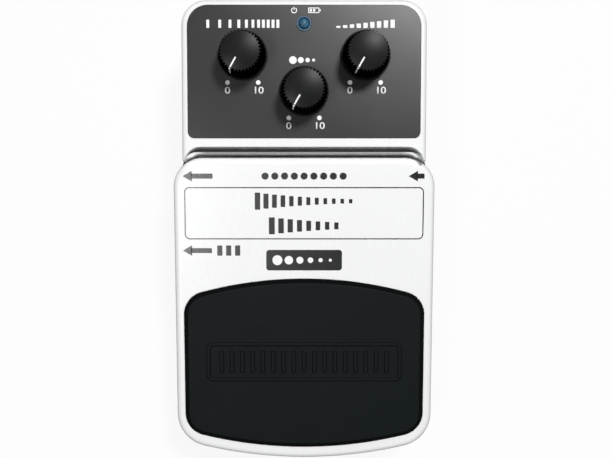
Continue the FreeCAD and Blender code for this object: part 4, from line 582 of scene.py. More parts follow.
@dataclass(frozen=True)
class Board(Finish):
    """Circuit board lacquer over copper tracks, with tinned dots."""

    tin: Colour

    def paint(self, sheet: NodeSheet) -> None:
        """Set the shader's inputs.

        Args:
            sheet: The material's nodes.
        """
        place = sheet.place()
        paths = sheet.node("ShaderNodeTexBrick", {"offset": 0.37, "squash": 0.6}, {
            "Vector": place, "Scale": 0.21, "Mortar Size": 0.045, "Mortar Smooth": 0.2}, "Fac")
        dots = sheet.cells(place, 0.32) < 0.16
        weave = sheet.noise(sheet.place((1.0, 6.0, 1.0)), 1.2, 2.0)
        base = sheet.blend(self.colour, self.other, paths * 0.8)
        sheet.dress(
            Base_Color=sheet.blend(base, self.tin, dots), Metallic=dots * 0.9,
            Roughness=0.34 + weave * 0.12 - dots * 0.1,
            Normal=sheet.bump(paths * 0.6 + dots * 0.4 + weave * 0.1, 0.03))


@dataclass(frozen=True)
class Banded(Finish):
    """Small lacquered parts with painted bands across their length."""

    pitch: float
    share: float
    roughness: float = 0.35

    def paint(self, sheet: NodeSheet) -> None:
        """Set the shader's inputs.

        Args:
            sheet: The material's nodes.
        """
        place = sheet.place()
        band = (sheet.axis(place, "X") * (TURN / self.pitch)).sine() > self.share
        grain = sheet.noise(place, 4.0, 3.0)
        sheet.dress(
            Base_Color=sheet.blend(self.colour, self.other, band * (0.8 + grain * 0.2)),
            Roughness=self.roughness + grain * 0.1,
            Normal=sheet.bump(grain * 0.5 + band * 0.5, 0.01, sheet.rounded(0.15)))


def grey(level: float) -> Colour:
    """Give a grey."""
    return (level, level, level)


def finishes() -> dict[str, Finish]:
    """List the finish of each material slot of the record, and of the printed marks.

    Returns:
        Each finish under the name of its slot.
    """
    return {
        # White shell; the groove gives where shade is painted on its crest.
        "white_plastic": GlossShell("white_shell_gloss", (0.86, 0.865, 0.87), (0.82, 0.82, 0.815),
                                    Groove(22.1, 0.7, 37.5, 29.5)),
        "black_rubber": Rubber("black_rubber_skin", (0.0022, 0.0048, 0.0054), (0.008, 0.011, 0.012)),
        "grip_rubber": Rubber("grip_mat_rubber", (0.035, 0.037, 0.04), (0.09, 0.093, 0.096),
                              Grip.LOZENGES),
        "dark_panel": SatinPaint("dark_panel_satin", (0.003, 0.0031, 0.0036),
                                 (0.006, 0.0063, 0.007), 0.24, 0.62),
        # Knob: its top blends towards the lighter second colour as painted light; worn edges too.
        "knob_plastic": TurnedKnob("knob_black_semigloss", (0.0015, 0.0018, 0.0021),
                                   (0.0145, 0.015, 0.0158), tuple(KNOBS.values())),
        "pointer_white": Ink("pointer_white_paint", (0.85, 0.85, 0.84), (0.7, 0.7, 0.69)),
        "blue_lens": Lens("blue_lamp_lens", (0.014, 0.05, 0.095), (0.05, 0.155, 0.25),
                          (0.0, 55.26, 42.5)),
        "chrome_metal": Metal("nickel_plate", (0.78, 0.77, 0.75), grey(0.55), 0.16),
        "steel_pin": Metal("drawn_steel", grey(0.6), grey(0.42), 0.28),
        "zinc_steel": Metal("zinc_plate", (0.66, 0.66, 0.64), (0.5, 0.5, 0.46), 0.3),
        "grey_metal": Metal("pot_case_metal", grey(0.5), grey(0.36), 0.36),
        "contact_metal": Metal("contact_brass", (0.8, 0.62, 0.32), (0.6, 0.45, 0.25), 0.25),
        "black_steel": Metal("blackened_steel", (0.06, 0.06, 0.062), grey(0.16), 0.38),
        "painted_steel": SatinPaint("base_plate_paint", (0.62, 0.63, 0.64), grey(0.7), 0.42),
        "black_plastic": Moulded("socket_plastic", (0.014, 0.014, 0.015), (0.04, 0.04, 0.042), 0.42),
        "white_nylon": Moulded("white_nylon", (0.74, 0.74, 0.7), (0.82, 0.82, 0.8), 0.5),
        "ribbon_grey": Banded("ribbon_grey", (0.42, 0.42, 0.44), (0.2, 0.2, 0.22), 1.3, 0.55),
        "can_sleeve": Banded("capacitor_sleeve", (0.03, 0.045, 0.12), (0.55, 0.58, 0.62), 6.4, 0.86),
        "film_red": Moulded("film_capacitor_dip", (0.42, 0.05, 0.035), (0.55, 0.12, 0.08),
                            0.25, 0.03, 1.2),
        "resistor_tan": Banded("resistor_bands", (0.58, 0.44, 0.26), (0.25, 0.07, 0.03), 1.6, 0.45),
        "trimmer_blue": Moulded("trimmer_blue", (0.04, 0.13, 0.42), (0.1, 0.22, 0.5), 0.4),
        "circuit_board": Board("circuit_lacquer", (0.015, 0.11, 0.045), (0.03, 0.2, 0.08),
                               (0.7, 0.68, 0.62)),
        "battery_case": Banded("battery_jacket", (0.12, 0.13, 0.15), (0.5, 0.36, 0.14),
                               70.0, 0.55, 0.3),
        "lead_red": Moulded("lead_red", (0.45, 0.02, 0.02), (0.5, 0.05, 0.04), 0.35),
        "lead_black": Moulded("lead_black", grey(0.012), grey(0.04), 0.35),
        "white_mark": Ink("white_print", grey(0.88), grey(0.78)),
        "dark_mark": Ink("dark_print", (0.008, 0.0085, 0.0095), (0.022, 0.023, 0.026), 0.2, 0.9),
        "thread_metal": Metal("thread_metal", (0.7, 0.69, 0.66), (0.45, 0.45, 0.44), 0.3,
                              (0.1, 1.0, 1.0)),
    }


@dataclass
class Palette:
    """The materials that have been made, by slot."""

    made: dict[str, bpy.types.Material] = field(default_factory=dict)

    def build(self) -> None:
        """Make every material and put it on the CAD nodes of its slot."""
        for slot, finish in finishes().items():
            self.made[slot] = finish.make()
        for entry in frame["record"]["subparts"]:
            item = frame["nodes"].get(entry["node"])
            if item is not None:
                self.wear(item, entry["material_slot"])
        self.wear(frame["nodes"]["lamp_ring"], "blue_lens")
        LOG.info("materials: %d", len(self.made))

    def wear(self, piece: Piece, slot: str) -> None:
        """Give a piece one of the finishes."""
        piece.data.materials.clear()
        piece.data.materials.append(self.made[slot])


def clear() -> None:
    """Deselect everything, outside edit mode."""
    if bpy.context.object is not None and bpy.context.object.mode != "OBJECT":
        bpy.ops.object.mode_set(mode="OBJECT")
    bpy.ops.object.select_all(action="DESELECT")


def pick(*pieces: Piece) -> Piece:
    """Select only these pieces; the first becomes the active one.

    Args:
        pieces: The pieces to select.

    Returns:
        The active piece.
    """
    clear()
    for piece in pieces:
        piece.select_set(True)
    bpy.context.view_layer.objects.active = pieces[0]
    return pieces[0]


def new() -> Piece:
    """Give the piece that an operator has just added."""
    return bpy.context.view_layer.objects.active


def settle(piece: Piece) -> Piece:
    """Move a piece's place into its mesh.

    Args:
        piece: A piece that may be moved, turned or scaled.

    Returns:
        The same piece at the origin, unturned and unscaled.
    """
    pick(piece)
    bpy.ops.object.transform_apply(location=True, rotation=True, scale=True)
    return piece


def lay(piece: Piece, matrix: Matrix) -> Piece:
    """Carry a piece by a transform and move its place into its mesh.

    Args:
        piece: The piece.
        matrix: The transform to carry it by.

    Returns:
        The same piece.
    """
    clear()
    piece.matrix_world = matrix @ piece.matrix_world
    return settle(piece)


def join(pieces: Sequence[Piece], name: str) -> Piece:
    """Join pieces into one, each one's place moved into its mesh first.

    Args:
        pieces: The pieces that become one.
        name: The name of the whole.

    Returns:
        The whole.
    """
    for piece in pieces:
        settle(piece)
    whole = pick(*pieces)
    if len(pieces) > 1:
        bpy.ops.object.join()
    return named(whole, name)


def named(piece: Piece, name: str) -> Piece:
    """Name a piece and its mesh."""
    piece.name = piece.data.name = name
    return piece


def twin(piece: Piece) -> Piece:
    """Copy a piece with its mesh.

    Args:
        piece: The piece to copy.

    Returns:
        The copy.
    """
    copy = piece.copy()
    copy.data = piece.data.copy()
    bpy.context.collection.objects.link(copy)
    return copy


def copies(model: Piece, places: Sequence[Matrix]) -> list[Piece]:
    """Lay a piece in the first place and a copy of it in each other one."""
    pieces = [model] + [twin(model) for _ in places[1:]]
    return [lay(piece, place) for piece, place in zip(pieces, places)]


@contextmanager
def editing(piece: Piece, mode: str = "VERT") -> Iterator[None]:
    """Hold a piece in edit mode with everything selected.

    Args:
        piece: The piece.
        mode: What is selected: VERT, EDGE or FACE.

    Yields:
        Nothing.
    """
    pick(piece)
    bpy.ops.object.mode_set(mode="EDIT")
    bpy.ops.mesh.select_mode(type=mode)
    bpy.ops.mesh.select_all(action="SELECT")
    yield
    bpy.ops.object.mode_set(mode="OBJECT")


@contextmanager
def choosing(piece: Piece, mode: str, test: Callable[[object], bool]) -> Iterator[None]:
    """Hold a piece in edit mode with the vertices, edges or faces selected that pass a test.

    Args:
        piece: The piece.
        mode: What is tested: VERT, EDGE or FACE.
        test: The test of a vertex, edge or face of the mesh.

    Yields:
        Nothing.
    """
    with editing(piece, mode):
        bpy.ops.mesh.select_all(action="DESELECT")
    mesh = piece.data
    for item in {"VERT": mesh.vertices, "EDGE": mesh.edges, "FACE": mesh.polygons}[mode]:
        item.select = test(item)
    bpy.ops.object.mode_set(mode="EDIT")
    yield
    bpy.ops.object.mode_set(mode="OBJECT")


def extrude(x: float, y: float, z: float) -> None:
    """Draw out what is selected in edit mode."""
    bpy.ops.mesh.extrude_region_move(TRANSFORM_OT_translate={"value": (x, y, z)})


def turn_outwards() -> None:
    """Turn every face outwards in edit mode."""
    bpy.ops.mesh.select_all(action="SELECT")
    bpy.ops.mesh.normals_make_consistent(inside=False)


def merge(piece: Piece) -> Piece:
    """Merge doubled vertices and turn every face outwards.

    Args:
        piece: The piece.

    Returns:
        The same piece.
    """
    with editing(piece):
        bpy.ops.mesh.remove_doubles(threshold=1e-6)
        turn_outwards()
    return piece


def apply(piece: Piece, kind: str, settings: dict) -> None:
    """Add a modifier with its settings and apply it.

    Args:
        piece: The piece.
        kind: The modifier's type.
        settings: Its settings.
    """
    pick(piece)
    modifier = piece.modifiers.new(kind.lower(), kind)
    for name, value in settings.items():
        setattr(modifier, name, value)
    bpy.ops.object.modifier_apply(modifier=modifier.name)


def carve(piece: Piece, tool: Piece, operation: str = "DIFFERENCE") -> None:
    """Cut a piece by a tool, or down to it, and throw the tool away."""
    apply(piece, "BOOLEAN", {"operation": operation, "object": tool, "solver": "EXACT"})
    bpy.data.objects.remove(tool)


def smooth(piece: Piece, degrees: float = 35.0, level: bool = False) -> Piece:
    """Shade a piece smooth except over sharper edges, its broad faces kept level if asked.

    Args:
        piece: The piece.
        degrees: The angle over which an edge stays sharp.
        level: Whether broad faces are kept level.

    Returns:
        The same piece.
    """
    pick(piece)
    bpy.ops.object.shade_smooth_by_angle(angle=math.radians(degrees))
    if level:
        apply(piece, "WEIGHTED_NORMAL", {"keep_sharp": True, "weight": 100})
    return piece


def solid(node: str, name: str) -> Piece:
    """Take a copy of a CAD node's mesh, its loose triangles merged into flat faces.

    Args:
        node: The name of the CAD node.
        name: The name of the copy.

    Returns:
        The copy.
    """
    piece = bpy.data.objects.new(name, frame["nodes"][node].data.copy())
    bpy.context.collection.objects.link(piece)
    piece.data.name = name
    with editing(piece):
        bpy.ops.mesh.remove_doubles(threshold=1e-6)
        bpy.ops.mesh.dissolve_limited(angle_limit=math.radians(0.5))
        bpy.ops.mesh.normals_make_consistent(inside=False)
    return piece


def flat(x: float, y: float, low: float, wide: float, deep: float, corner: float = 0.0) -> Piece:
    """Make a level plate about a point, its corners rounded if a radius is given.

    Args:
        x: Its middle, across.
        y: Its middle, along.
        low: Its level.
        wide: Its size across.
        deep: Its size along.
        corner: The radius of its corners.

    Returns:
        The plate.
    """
    clear()
    bpy.ops.mesh.primitive_plane_add(size=1.0, location=(x, y, low))
    piece = new()
    piece.scale = (wide, deep, 1.0)
    settle(piece)
    if corner:
        with editing(piece):
            bpy.ops.mesh.bevel(offset=corner, segments=8, affect="VERTICES")
    return piece


def hollow(piece: Piece, line: float) -> Piece:
    """Leave only a band of a plate along its outline.

    Args:
        piece: A plate of one face.
        line: The width of the band.

    Returns:
        The same piece.
    """
    with editing(piece, "FACE"):
        bpy.ops.mesh.inset(thickness=line, depth=0.0)
        bpy.ops.mesh.delete(type="FACE")
    return piece


def disc(x: float, y: float, radius: float, corners: int, turn: float = 0.0) -> Piece:
    """Make a level round plate about a point.

    Args:
        x: Its middle, across.
        y: Its middle, along.
        radius: Its radius.
        corners: How many corners its outline has.
        turn: Its turn in radians.

    Returns:
        The plate.
    """
    clear()
    bpy.ops.mesh.primitive_circle_add(vertices=corners, radius=radius, fill_type="NGON",
                                      location=(x, y, 0.0), rotation=(0.0, 0.0, turn))
    return new()


def block(x: float, y: float, low: float, wide: float, deep: float, high: float,
          edge: float = 0.0) -> Piece:
    """Make a block that stands on a level, its edges rounded if a radius is given.

    Args:
        x: Its middle, across.
        y: Its middle, along.
        low: The level that it stands on.
        wide: Its size across.
        deep: Its size along.
        high: Its height.
        edge: The radius of its edges.

    Returns:
        The block.
    """
    clear()
    bpy.ops.mesh.primitive_cube_add(size=1.0, location=(x, y, low + high / 2.0))
    piece = new()
    piece.scale = (wide, deep, high)
    settle(piece)
    if edge:
        with editing(piece, "EDGE"):
            bpy.ops.mesh.bevel(offset=edge, segments=3, affect="EDGES")
    return piece


def lathe(name: str, profile: Sequence[Point], steps: int = 64) -> Piece:
    """Spin a profile of radii and heights round the Z axis, in so many facets.

    Args:
        name: The name of the piece.
        profile: Radii and heights, in order.
        steps: How many facets go round.

    Returns:
        The turned piece.
    """
    clear()
    bpy.ops.mesh.primitive_plane_add(size=1.0, location=(0.0, 0.0, 0.0))
    piece = new()
    piece.name = name
    with editing(piece):
        bpy.ops.mesh.merge(type="CENTER")
        radius, height = profile[0]
        bpy.ops.transform.translate(value=(radius, 0.0, height))
        for (from_r, from_z), (to_r, to_z) in zip(profile, profile[1:]):
            extrude(to_r - from_r, 0.0, to_z - from_z)
        bpy.ops.mesh.select_all(action="SELECT")
        bpy.ops.mesh.spin(steps=steps, angle=TURN, center=(0.0, 0.0, 0.0), axis=(0.0, 0.0, 1.0))
    return merge(piece)


@dataclass
class MarkSheet:
    """A set of printed marks of one colour on one surface, drawn flat in millimetres."""

    name: str
    plane: Plane
    body: str
    slot: str
    thickness: float = 0.03
    letter_size: float = 1.36
    letter_weight: float = 0.042
    letter_stretch: float = 1.15
    rounded: list[Piece] = field(default_factory=list)
    plain: list[Piece] = field(default_factory=list)

    def bar(self, x: float, y: float, wide: float, high: float) -> None:
        """Draw an upright or level bar about a point."""
        self.rounded.append(flat(x, y, 0.0, wide, high))

    def dot(self, x: float, y: float, radius: float, corners: int = 28, turn: float = 0.0) -> None:
        """Draw a filled dot, or with few corners a triangle or diamond."""
        self.plain.append(disc(x, y, radius, corners, turn))

    def outline(self, x: float, y: float, wide: float, high: float, corner: float, line: float) -> None:
        """Draw a rounded outline of a given line width."""
        self.plain.append(hollow(flat(x, y, 0.0, wide, high, corner), line))

    def plate(self, x: float, y: float, wide: float, high: float, corner: float) -> None:
        """Draw a filled rounded plate."""
        self.plain.append(flat(x, y, 0.0, wide, high, corner))

    def ring(self, x: float, y: float, radius: float, line: float, gap: float) -> None:
        """Draw a ring that is open at the top.

        Args:
            x: Its middle, across.
            y: Its middle, along.
            radius: Its outer radius.
            line: The width of the line.
            gap: Half the width of the opening.
        """
        piece = hollow(disc(0.0, 0.0, radius, 36), line)
        with choosing(piece, "FACE", lambda face: face.center.y > 0 and abs(face.center.x) < gap):
            bpy.ops.mesh.delete(type="FACE")
        piece.location = (x, y, 0.0)
        self.plain.append(piece)

    def number(self, text: str, x: float, y: float, high: float) -> None:
        """Draw a number centred on a point, bold as on a dial.

        Args:
            text: The digits.
            x: Its middle, across.
            y: Its middle, along.
            high: The height of the digits.
        """
        clear()
        bpy.ops.object.text_add(location=(0.0, 0.0, 0.0))
        letters = new().data
        letters.body = text
        letters.align_x = letters.align_y = "CENTER"
        letters.size = high * self.letter_size
        letters.offset = self.letter_weight
        bpy.ops.object.convert(target="MESH")
        piece = new()
        piece.scale = (self.letter_stretch, 1.0, 1.0)
        piece.location = (x, y, 0.0)
        self.plain.append(piece)

    def finish(self, palette: Palette, corner: float = 0.12) -> Piece:
        """Round, thicken, join and place the marks, and make them ride on their body.

        Args:
            palette: The materials.
            corner: The radius of the bars' corners.

        Returns:
            The joined marks.
        """
        pieces = list(self.plain)
        if self.rounded:
            bars = join(self.rounded, self.name + "_bars")
            with editing(bars):
                bpy.ops.mesh.bevel(offset=corner, segments=3, affect="VERTICES")
            pieces.append(bars)
        whole = join(pieces, self.name)
        with editing(whole, "FACE"):
            extrude(0.0, 0.0, self.thickness)
            turn_outwards()
        lay(whole, self.plane.matrix())
        palette.wear(whole, self.slot)
        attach(whole, self.body)
        return whole


@dataclass
class PanelMarks:
    """White marks on the control panel: scale dots and numbers, and a picture for each knob."""

    palette: Palette
    knobs: Sequence[Point] = ((-15.95, 47.09), (0.0, 37.92), (15.95, 47.09))
    dot_spread: float = 4.0
    dot_drop: float = 6.9
    dot_radius: float = 0.6
    number_drop: float = 9.0
    number_height: float = 1.85
    title_row: float = 55.25
    middle_row: float = 45.95
    sign_row: float = 58.7
    pulse_size: Point = (0.75, 2.1)
    rising_width: float = 1.1
    rising_foot: float = 1.05
    fading_radii: Sequence[float] = (1.0, 0.78, 0.58, 0.4)
    power_place: float = -2.6
    power_radius: float = 0.78
    power_line: float = 0.24
    power_gap: float = 0.3
    stroke_rise: float = 0.5
    stroke_length: float = 0.85
    battery_place: float = 2.5
    battery_size: Point = (2.9, 1.4)
    battery_corner: float = 0.2
    battery_line: float = 0.22
    battery_bars: Sequence[Triple] = ((4.15, 0.3, 0.6), (1.75, 0.55, 0.7), (2.6, 0.55, 0.7))

    def build(self) -> list[Piece]:
        """Draw and place the marks.

        Returns:
            The finished pieces.
        """
        sheet = MarkSheet("panel_marks", Plane.PANEL, "base", "white_mark")
        up = Plane.PANEL.along
        for x, y in self.knobs:
            for side, text in ((-1, "0"), (1, "10")):
                across = x + side * self.dot_spread
                sheet.dot(across, up(y - self.dot_drop), self.dot_radius)
                sheet.number(text, across, up(y - self.number_drop), self.number_height)
        self.repeats(sheet, up(self.title_row))
        self.growing(sheet, up(self.title_row))
        self.fading(sheet, up(self.middle_row))
        self.lamp_signs(sheet, up(self.sign_row))
        return [sheet.finish(self.palette)]

    def repeats(self, sheet: MarkSheet, y: float) -> None:
        """Draw equal pulses that follow each other faster, for the rate of repeats.

        Args:
            sheet: The marks to add to.
            y: The row, along the slope.
        """
        x, end, step, least_step, quickening = -25.0, -6.6, 3.1, 1.25, 0.86
        while x < end:
            sheet.bar(x, y, *self.pulse_size)
            x += step
            step = max(step * quickening, least_step)

    def growing(self, sheet: MarkSheet, y: float) -> None:
        """Draw bars that grow, for the strength.

        Args:
            sheet: The marks to add to.
            y: The row, along the slope.
        """
        count, start, pitch, lowest, growth = 9, 8.9, 1.76, 0.5, 1.6
        for number in range(count):
            high = lowest + growth * number / (count - 1)
            sheet.bar(start + number * pitch, y - self.rising_foot + high / 2, self.rising_width, high)

    def fading(self, sheet: MarkSheet, y: float) -> None:
        """Draw dots that shrink and close up, for the echo.

        Args:
            sheet: The marks to add to.
            y: The row, along the slope.
        """
        start, pitch, closing = -2.9, 2.15, 0.12
        for number, radius in enumerate(self.fading_radii):
            sheet.dot(start + number * pitch - closing * number * number, y, radius)

    def lamp_signs(self, sheet: MarkSheet, y: float) -> None:
        """Draw a power sign and a small battery over the lamp.

        Args:
            sheet: The marks to add to.
            y: The row, along the slope.
        """
        sheet.ring(self.power_place, y, self.power_radius, self.power_line, self.power_gap)
        sheet.bar(self.power_place, y + self.stroke_rise, self.power_line, self.stroke_length)
        sheet.outline(self.battery_place, y, *self.battery_size, self.battery_corner, self.battery_line)
        for x, wide, high in self.battery_bars:
            sheet.bar(x, y, wide, high)


@dataclass
class TreadleMarks:
    """Dark marks on the treadle: arrows for the sockets, a framed echo, and a dotted badge."""

    palette: Palette
    arrows: Sequence[Triple] = ((-32.2, -24.4, 16.1), (28.1, 32.1, 16.1), (-32.4, -24.8, -3.8))
    arrow_half: float = 1.5
    head_centre: float = 0.95
    head_radius: float = 1.1
    neck: float = 1.3
    shaft: float = 0.9
    side_row: float = -3.8
    side_bars: Sequence[float] = (-22.7, -20.3, -17.9)
    side_bar_size: Point = (1.4, 2.8)
    top_row: float = 16.1
    top_reach: int = 4
    top_pitch: float = 2.6
    top_radius: float = 0.95
    frame_row: float = 6.2
    frame_size: Point = (64.1, 14.1)
    frame_corner: float = 1.4
    frame_line: float = 0.3
    echoes: Sequence[tuple[float, float, int]] = ((9.45, 13.6, 12), (2.85, 9.9, 8))
    echo_height: float = 4.6
    echo_fade: float = 0.88
    echo_width: float = 0.34
    echo_swell: float = 0.3
    bar_corner: float = 0.16
    badge_row: float = -6.4
    badge_size: Point = (20.4, 5.6)
    badge_corner: float = 0.8
    badge_rise: float = 0.05
    badge_start: float = -7.2
    badge_pitch: float = 3.15
    badge_closing: float = 0.06
    badge_radii: Sequence[float] = (1.35, 1.15, 0.95, 0.76, 0.58, 0.42)

    def build(self) -> list[Piece]:
        """Draw and place the marks.

        Returns:
            The finished pieces.
        """
        sheet = MarkSheet("treadle_marks", Plane.TREADLE, "treadle", "dark_mark")
        up = Plane.TREADLE.along
        for left, right, row in self.arrows:
            self.arrow(sheet, left, right, up(row), self.arrow_half)
        for x in self.side_bars:
            sheet.bar(x, up(self.side_row), *self.side_bar_size)
        for number in range(-self.top_reach, self.top_reach + 1):
            sheet.dot(number * self.top_pitch, up(self.top_row), self.top_radius)
        sheet.outline(0.0, up(self.frame_row), *self.frame_size, self.frame_corner, self.frame_line)
        for row, half, count in self.echoes:
            self.echo(sheet, up(row), half, count)
        sheet.plate(0.0, up(self.badge_row), *self.badge_size, self.badge_corner)
        dots = MarkSheet("badge_marks", Plane.TREADLE, "treadle", "white_mark", self.badge_rise)
        for number, radius in enumerate(self.badge_radii):
            across = self.badge_start + number * self.badge_pitch - self.badge_closing * number * number
            dots.dot(across, up(self.badge_row), radius)
        return [sheet.finish(self.palette, self.bar_corner), dots.finish(self.palette)]

    def arrow(self, sheet: MarkSheet, left: float, right: float, y: float, half: float) -> None:
        """Draw an arrow that points to the left between two places.

        Args:
            sheet: The marks to add to.
            left: Where it begins.
            right: Where it ends.
            y: The row, along the slope.
            half: Half the height of its head.
        """
        sheet.dot(left + half * self.head_centre, y, half * self.head_radius, 3, math.pi / 2)
        neck = half * self.neck
        sheet.bar((left + neck + right) / 2, y, right - left - neck, half * self.shaft)

    def echo(self, sheet: MarkSheet, y: float, half: float, count: int) -> None:
        """Draw a row of bars that die away from the left to the right.

        Args:
            sheet: The marks to add to.
            y: The row, along the slope.
            half: Half the length of the row.
            count: How many bars it has.
        """
        pitch = 2.0 * half / count
        for number in range(count):
            fade = self.echo_fade ** number
            wide = pitch * (self.echo_width + self.echo_swell * fade)
            sheet.bar(-half + pitch * (number + 0.5), y, wide, self.echo_height * fade)


@dataclass
class JackFronts:
    """What shows of each side jack: chamfered nut, toothed washer and threaded bushing."""

    palette: Palette
    level: float = 14.3
    wall: float = 32.0
    places: Sequence[tuple[int, float, str]] = ((1, 16.0, "input"), (-1, 16.0, "output"),
                                                (-1, -4.0, "direct"))
    nut_radius: float = 6.35
    nut_profile: Sequence[Point] = ((4.7, 0.75), (4.95, 0.6), (6.35, 0.6), (6.35, 2.25),
                                    (5.75, 2.6), (4.95, 2.6), (4.7, 2.45), (4.7, 0.75))
    washer_profile: Sequence[Point] = ((4.7, 0.02), (5.5, 0.0), (5.85, 0.0), (5.85, 0.6),
                                       (5.5, 0.6), (4.7, 0.55), (4.7, 0.02))
    washer_facets: int = 48
    tooth_root: float = 5.8
    tooth_pull: float = 1.055
    thread_profile: Sequence[Point] = (
        (4.5, 2.42), (4.53, 2.47), (4.61, 2.535), (4.53, 2.6), (4.53, 2.64), (4.61, 2.705),
        (4.53, 2.77), (4.5, 2.8), (4.45, 2.84), (4.45, 2.42), (4.5, 2.42))

    def build(self) -> list[Piece]:
        """Model one of each part, copy it to every jack, and join the nuts and the washers.

        Returns:
            The finished pieces.
        """
        places = [placed(side * self.wall, y, self.level, side * math.pi / 2, "Y")
                  for side, y, _ in self.places]
        pieces = []
        for model, name, node in ((self.washer(), "toothed_washers", "jack_washers"),
                                  (self.nut(), "chamfered_nuts", "jack_nuts")):
            whole = smooth(join(copies(model, places), name), 30.0)
            self.palette.wear(whole, "chrome_metal")
            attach(whole, "base")
            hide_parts(node)
            pieces.append(whole)
        threads = copies(lathe("thread_sleeve", self.thread_profile, 56), places)
        for thread, (_, _, name) in zip(threads, self.places):
            named(thread, name + "_jack_thread")
            self.palette.wear(thread, "thread_metal")
            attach(smooth(thread, 25.0), "base")
        return pieces + threads

    def nut(self) -> Piece:
        """Cut a chamfered ring to a hexagon.

        Returns:
            The nut, upright at the origin.
        """
        ring = lathe("nut_ring", self.nut_profile, 72)
        clear()
        bpy.ops.mesh.primitive_cylinder_add(vertices=6, radius=self.nut_radius, depth=6.0,
                                            location=(0.0, 0.0, 1.6))
        carve(ring, new(), "INTERSECT")
        return ring

    def washer(self) -> Piece:
        """Turn a thin washer and pull out a tooth at every third facet of its rim.

        Returns:
            The washer, level at the origin.
        """
        washer = lathe("washer_ring", self.washer_profile, self.washer_facets)
        pitch = TURN / self.washer_facets
        with choosing(washer, "VERT", lambda vertex: (
                math.hypot(vertex.co.x, vertex.co.y) > self.tooth_root
                and round(math.atan2(vertex.co.y, vertex.co.x) / pitch) % 3 == 0)):
            bpy.ops.transform.resize(value=(self.tooth_pull, self.tooth_pull, 1.0),
                                     center_override=(0.0, 0.0, 0.0))
        return washer


@dataclass
class BaseScrews:
    """Countersunk screw heads under the base, each with a cross recess."""

    palette: Palette
    places: Sequence[Point] = ((-27.2, 55.0), (27.2, 55.0), (-14.0, -51.3), (14.0, -51.3))
    profile: Sequence[Point] = ((0.0, 1.0), (2.45, 1.0), (2.6, 1.08), (1.4, 2.5), (1.4, 9.6),
                                (1.0, 10.0), (0.0, 10.0))
    recess: tuple[float, float, float, float] = (2.7, 0.62, 0.4, 1.6)

    def build(self) -> list[Piece]:
        """Model one screw, cut its recess and copy it to every place.

        Returns:
            The finished pieces.
        """
        screw = lathe("screw_blank", self.profile, 40)
        long, narrow, low, high = self.recess
        for wide, deep in ((long, narrow), (narrow, long)):
            carve(screw, block(0.0, 0.0, low, wide, deep, high))
        screws = copies(screw, [placed(x, y, 0.0) for x, y in self.places])
        whole = smooth(join(screws, "cross_head_screws"), 30.0)
        self.palette.wear(whole, "black_steel")
        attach(whole, "base")
        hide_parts("base_screws")
        return [whole]


@dataclass
class LampLens:
    """The lamp's lens as a stepped turned dome over its flange."""

    palette: Palette
    row: float = 31.9
    radius: float = 1.5
    dome_foot: float = -0.6
    stem: Sequence[Point] = ((0.0, -4.2), (1.9, -4.2), (1.9, -3.2), (1.5, -3.15), (1.5, -0.6))
    dome_steps: int = 8

    def build(self) -> list[Piece]:
        """Turn the lens and set it in the panel.

        Returns:
            The finished pieces.
        """
        angles = [number * math.pi / (2 * self.dome_steps) for number in range(1, self.dome_steps + 1)]
        dome = [(self.radius * math.cos(angle), self.dome_foot + self.radius * math.sin(angle))
                for angle in angles]
        lens = lay(lathe("lamp_lens", (*self.stem, *dome), 48), Plane.PANEL.seat(0.0, self.row, 0.0))
        self.palette.wear(smooth(lens, 40.0), "blue_lens")
        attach(lens, "base")
        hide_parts("lamp")
        return [lens]


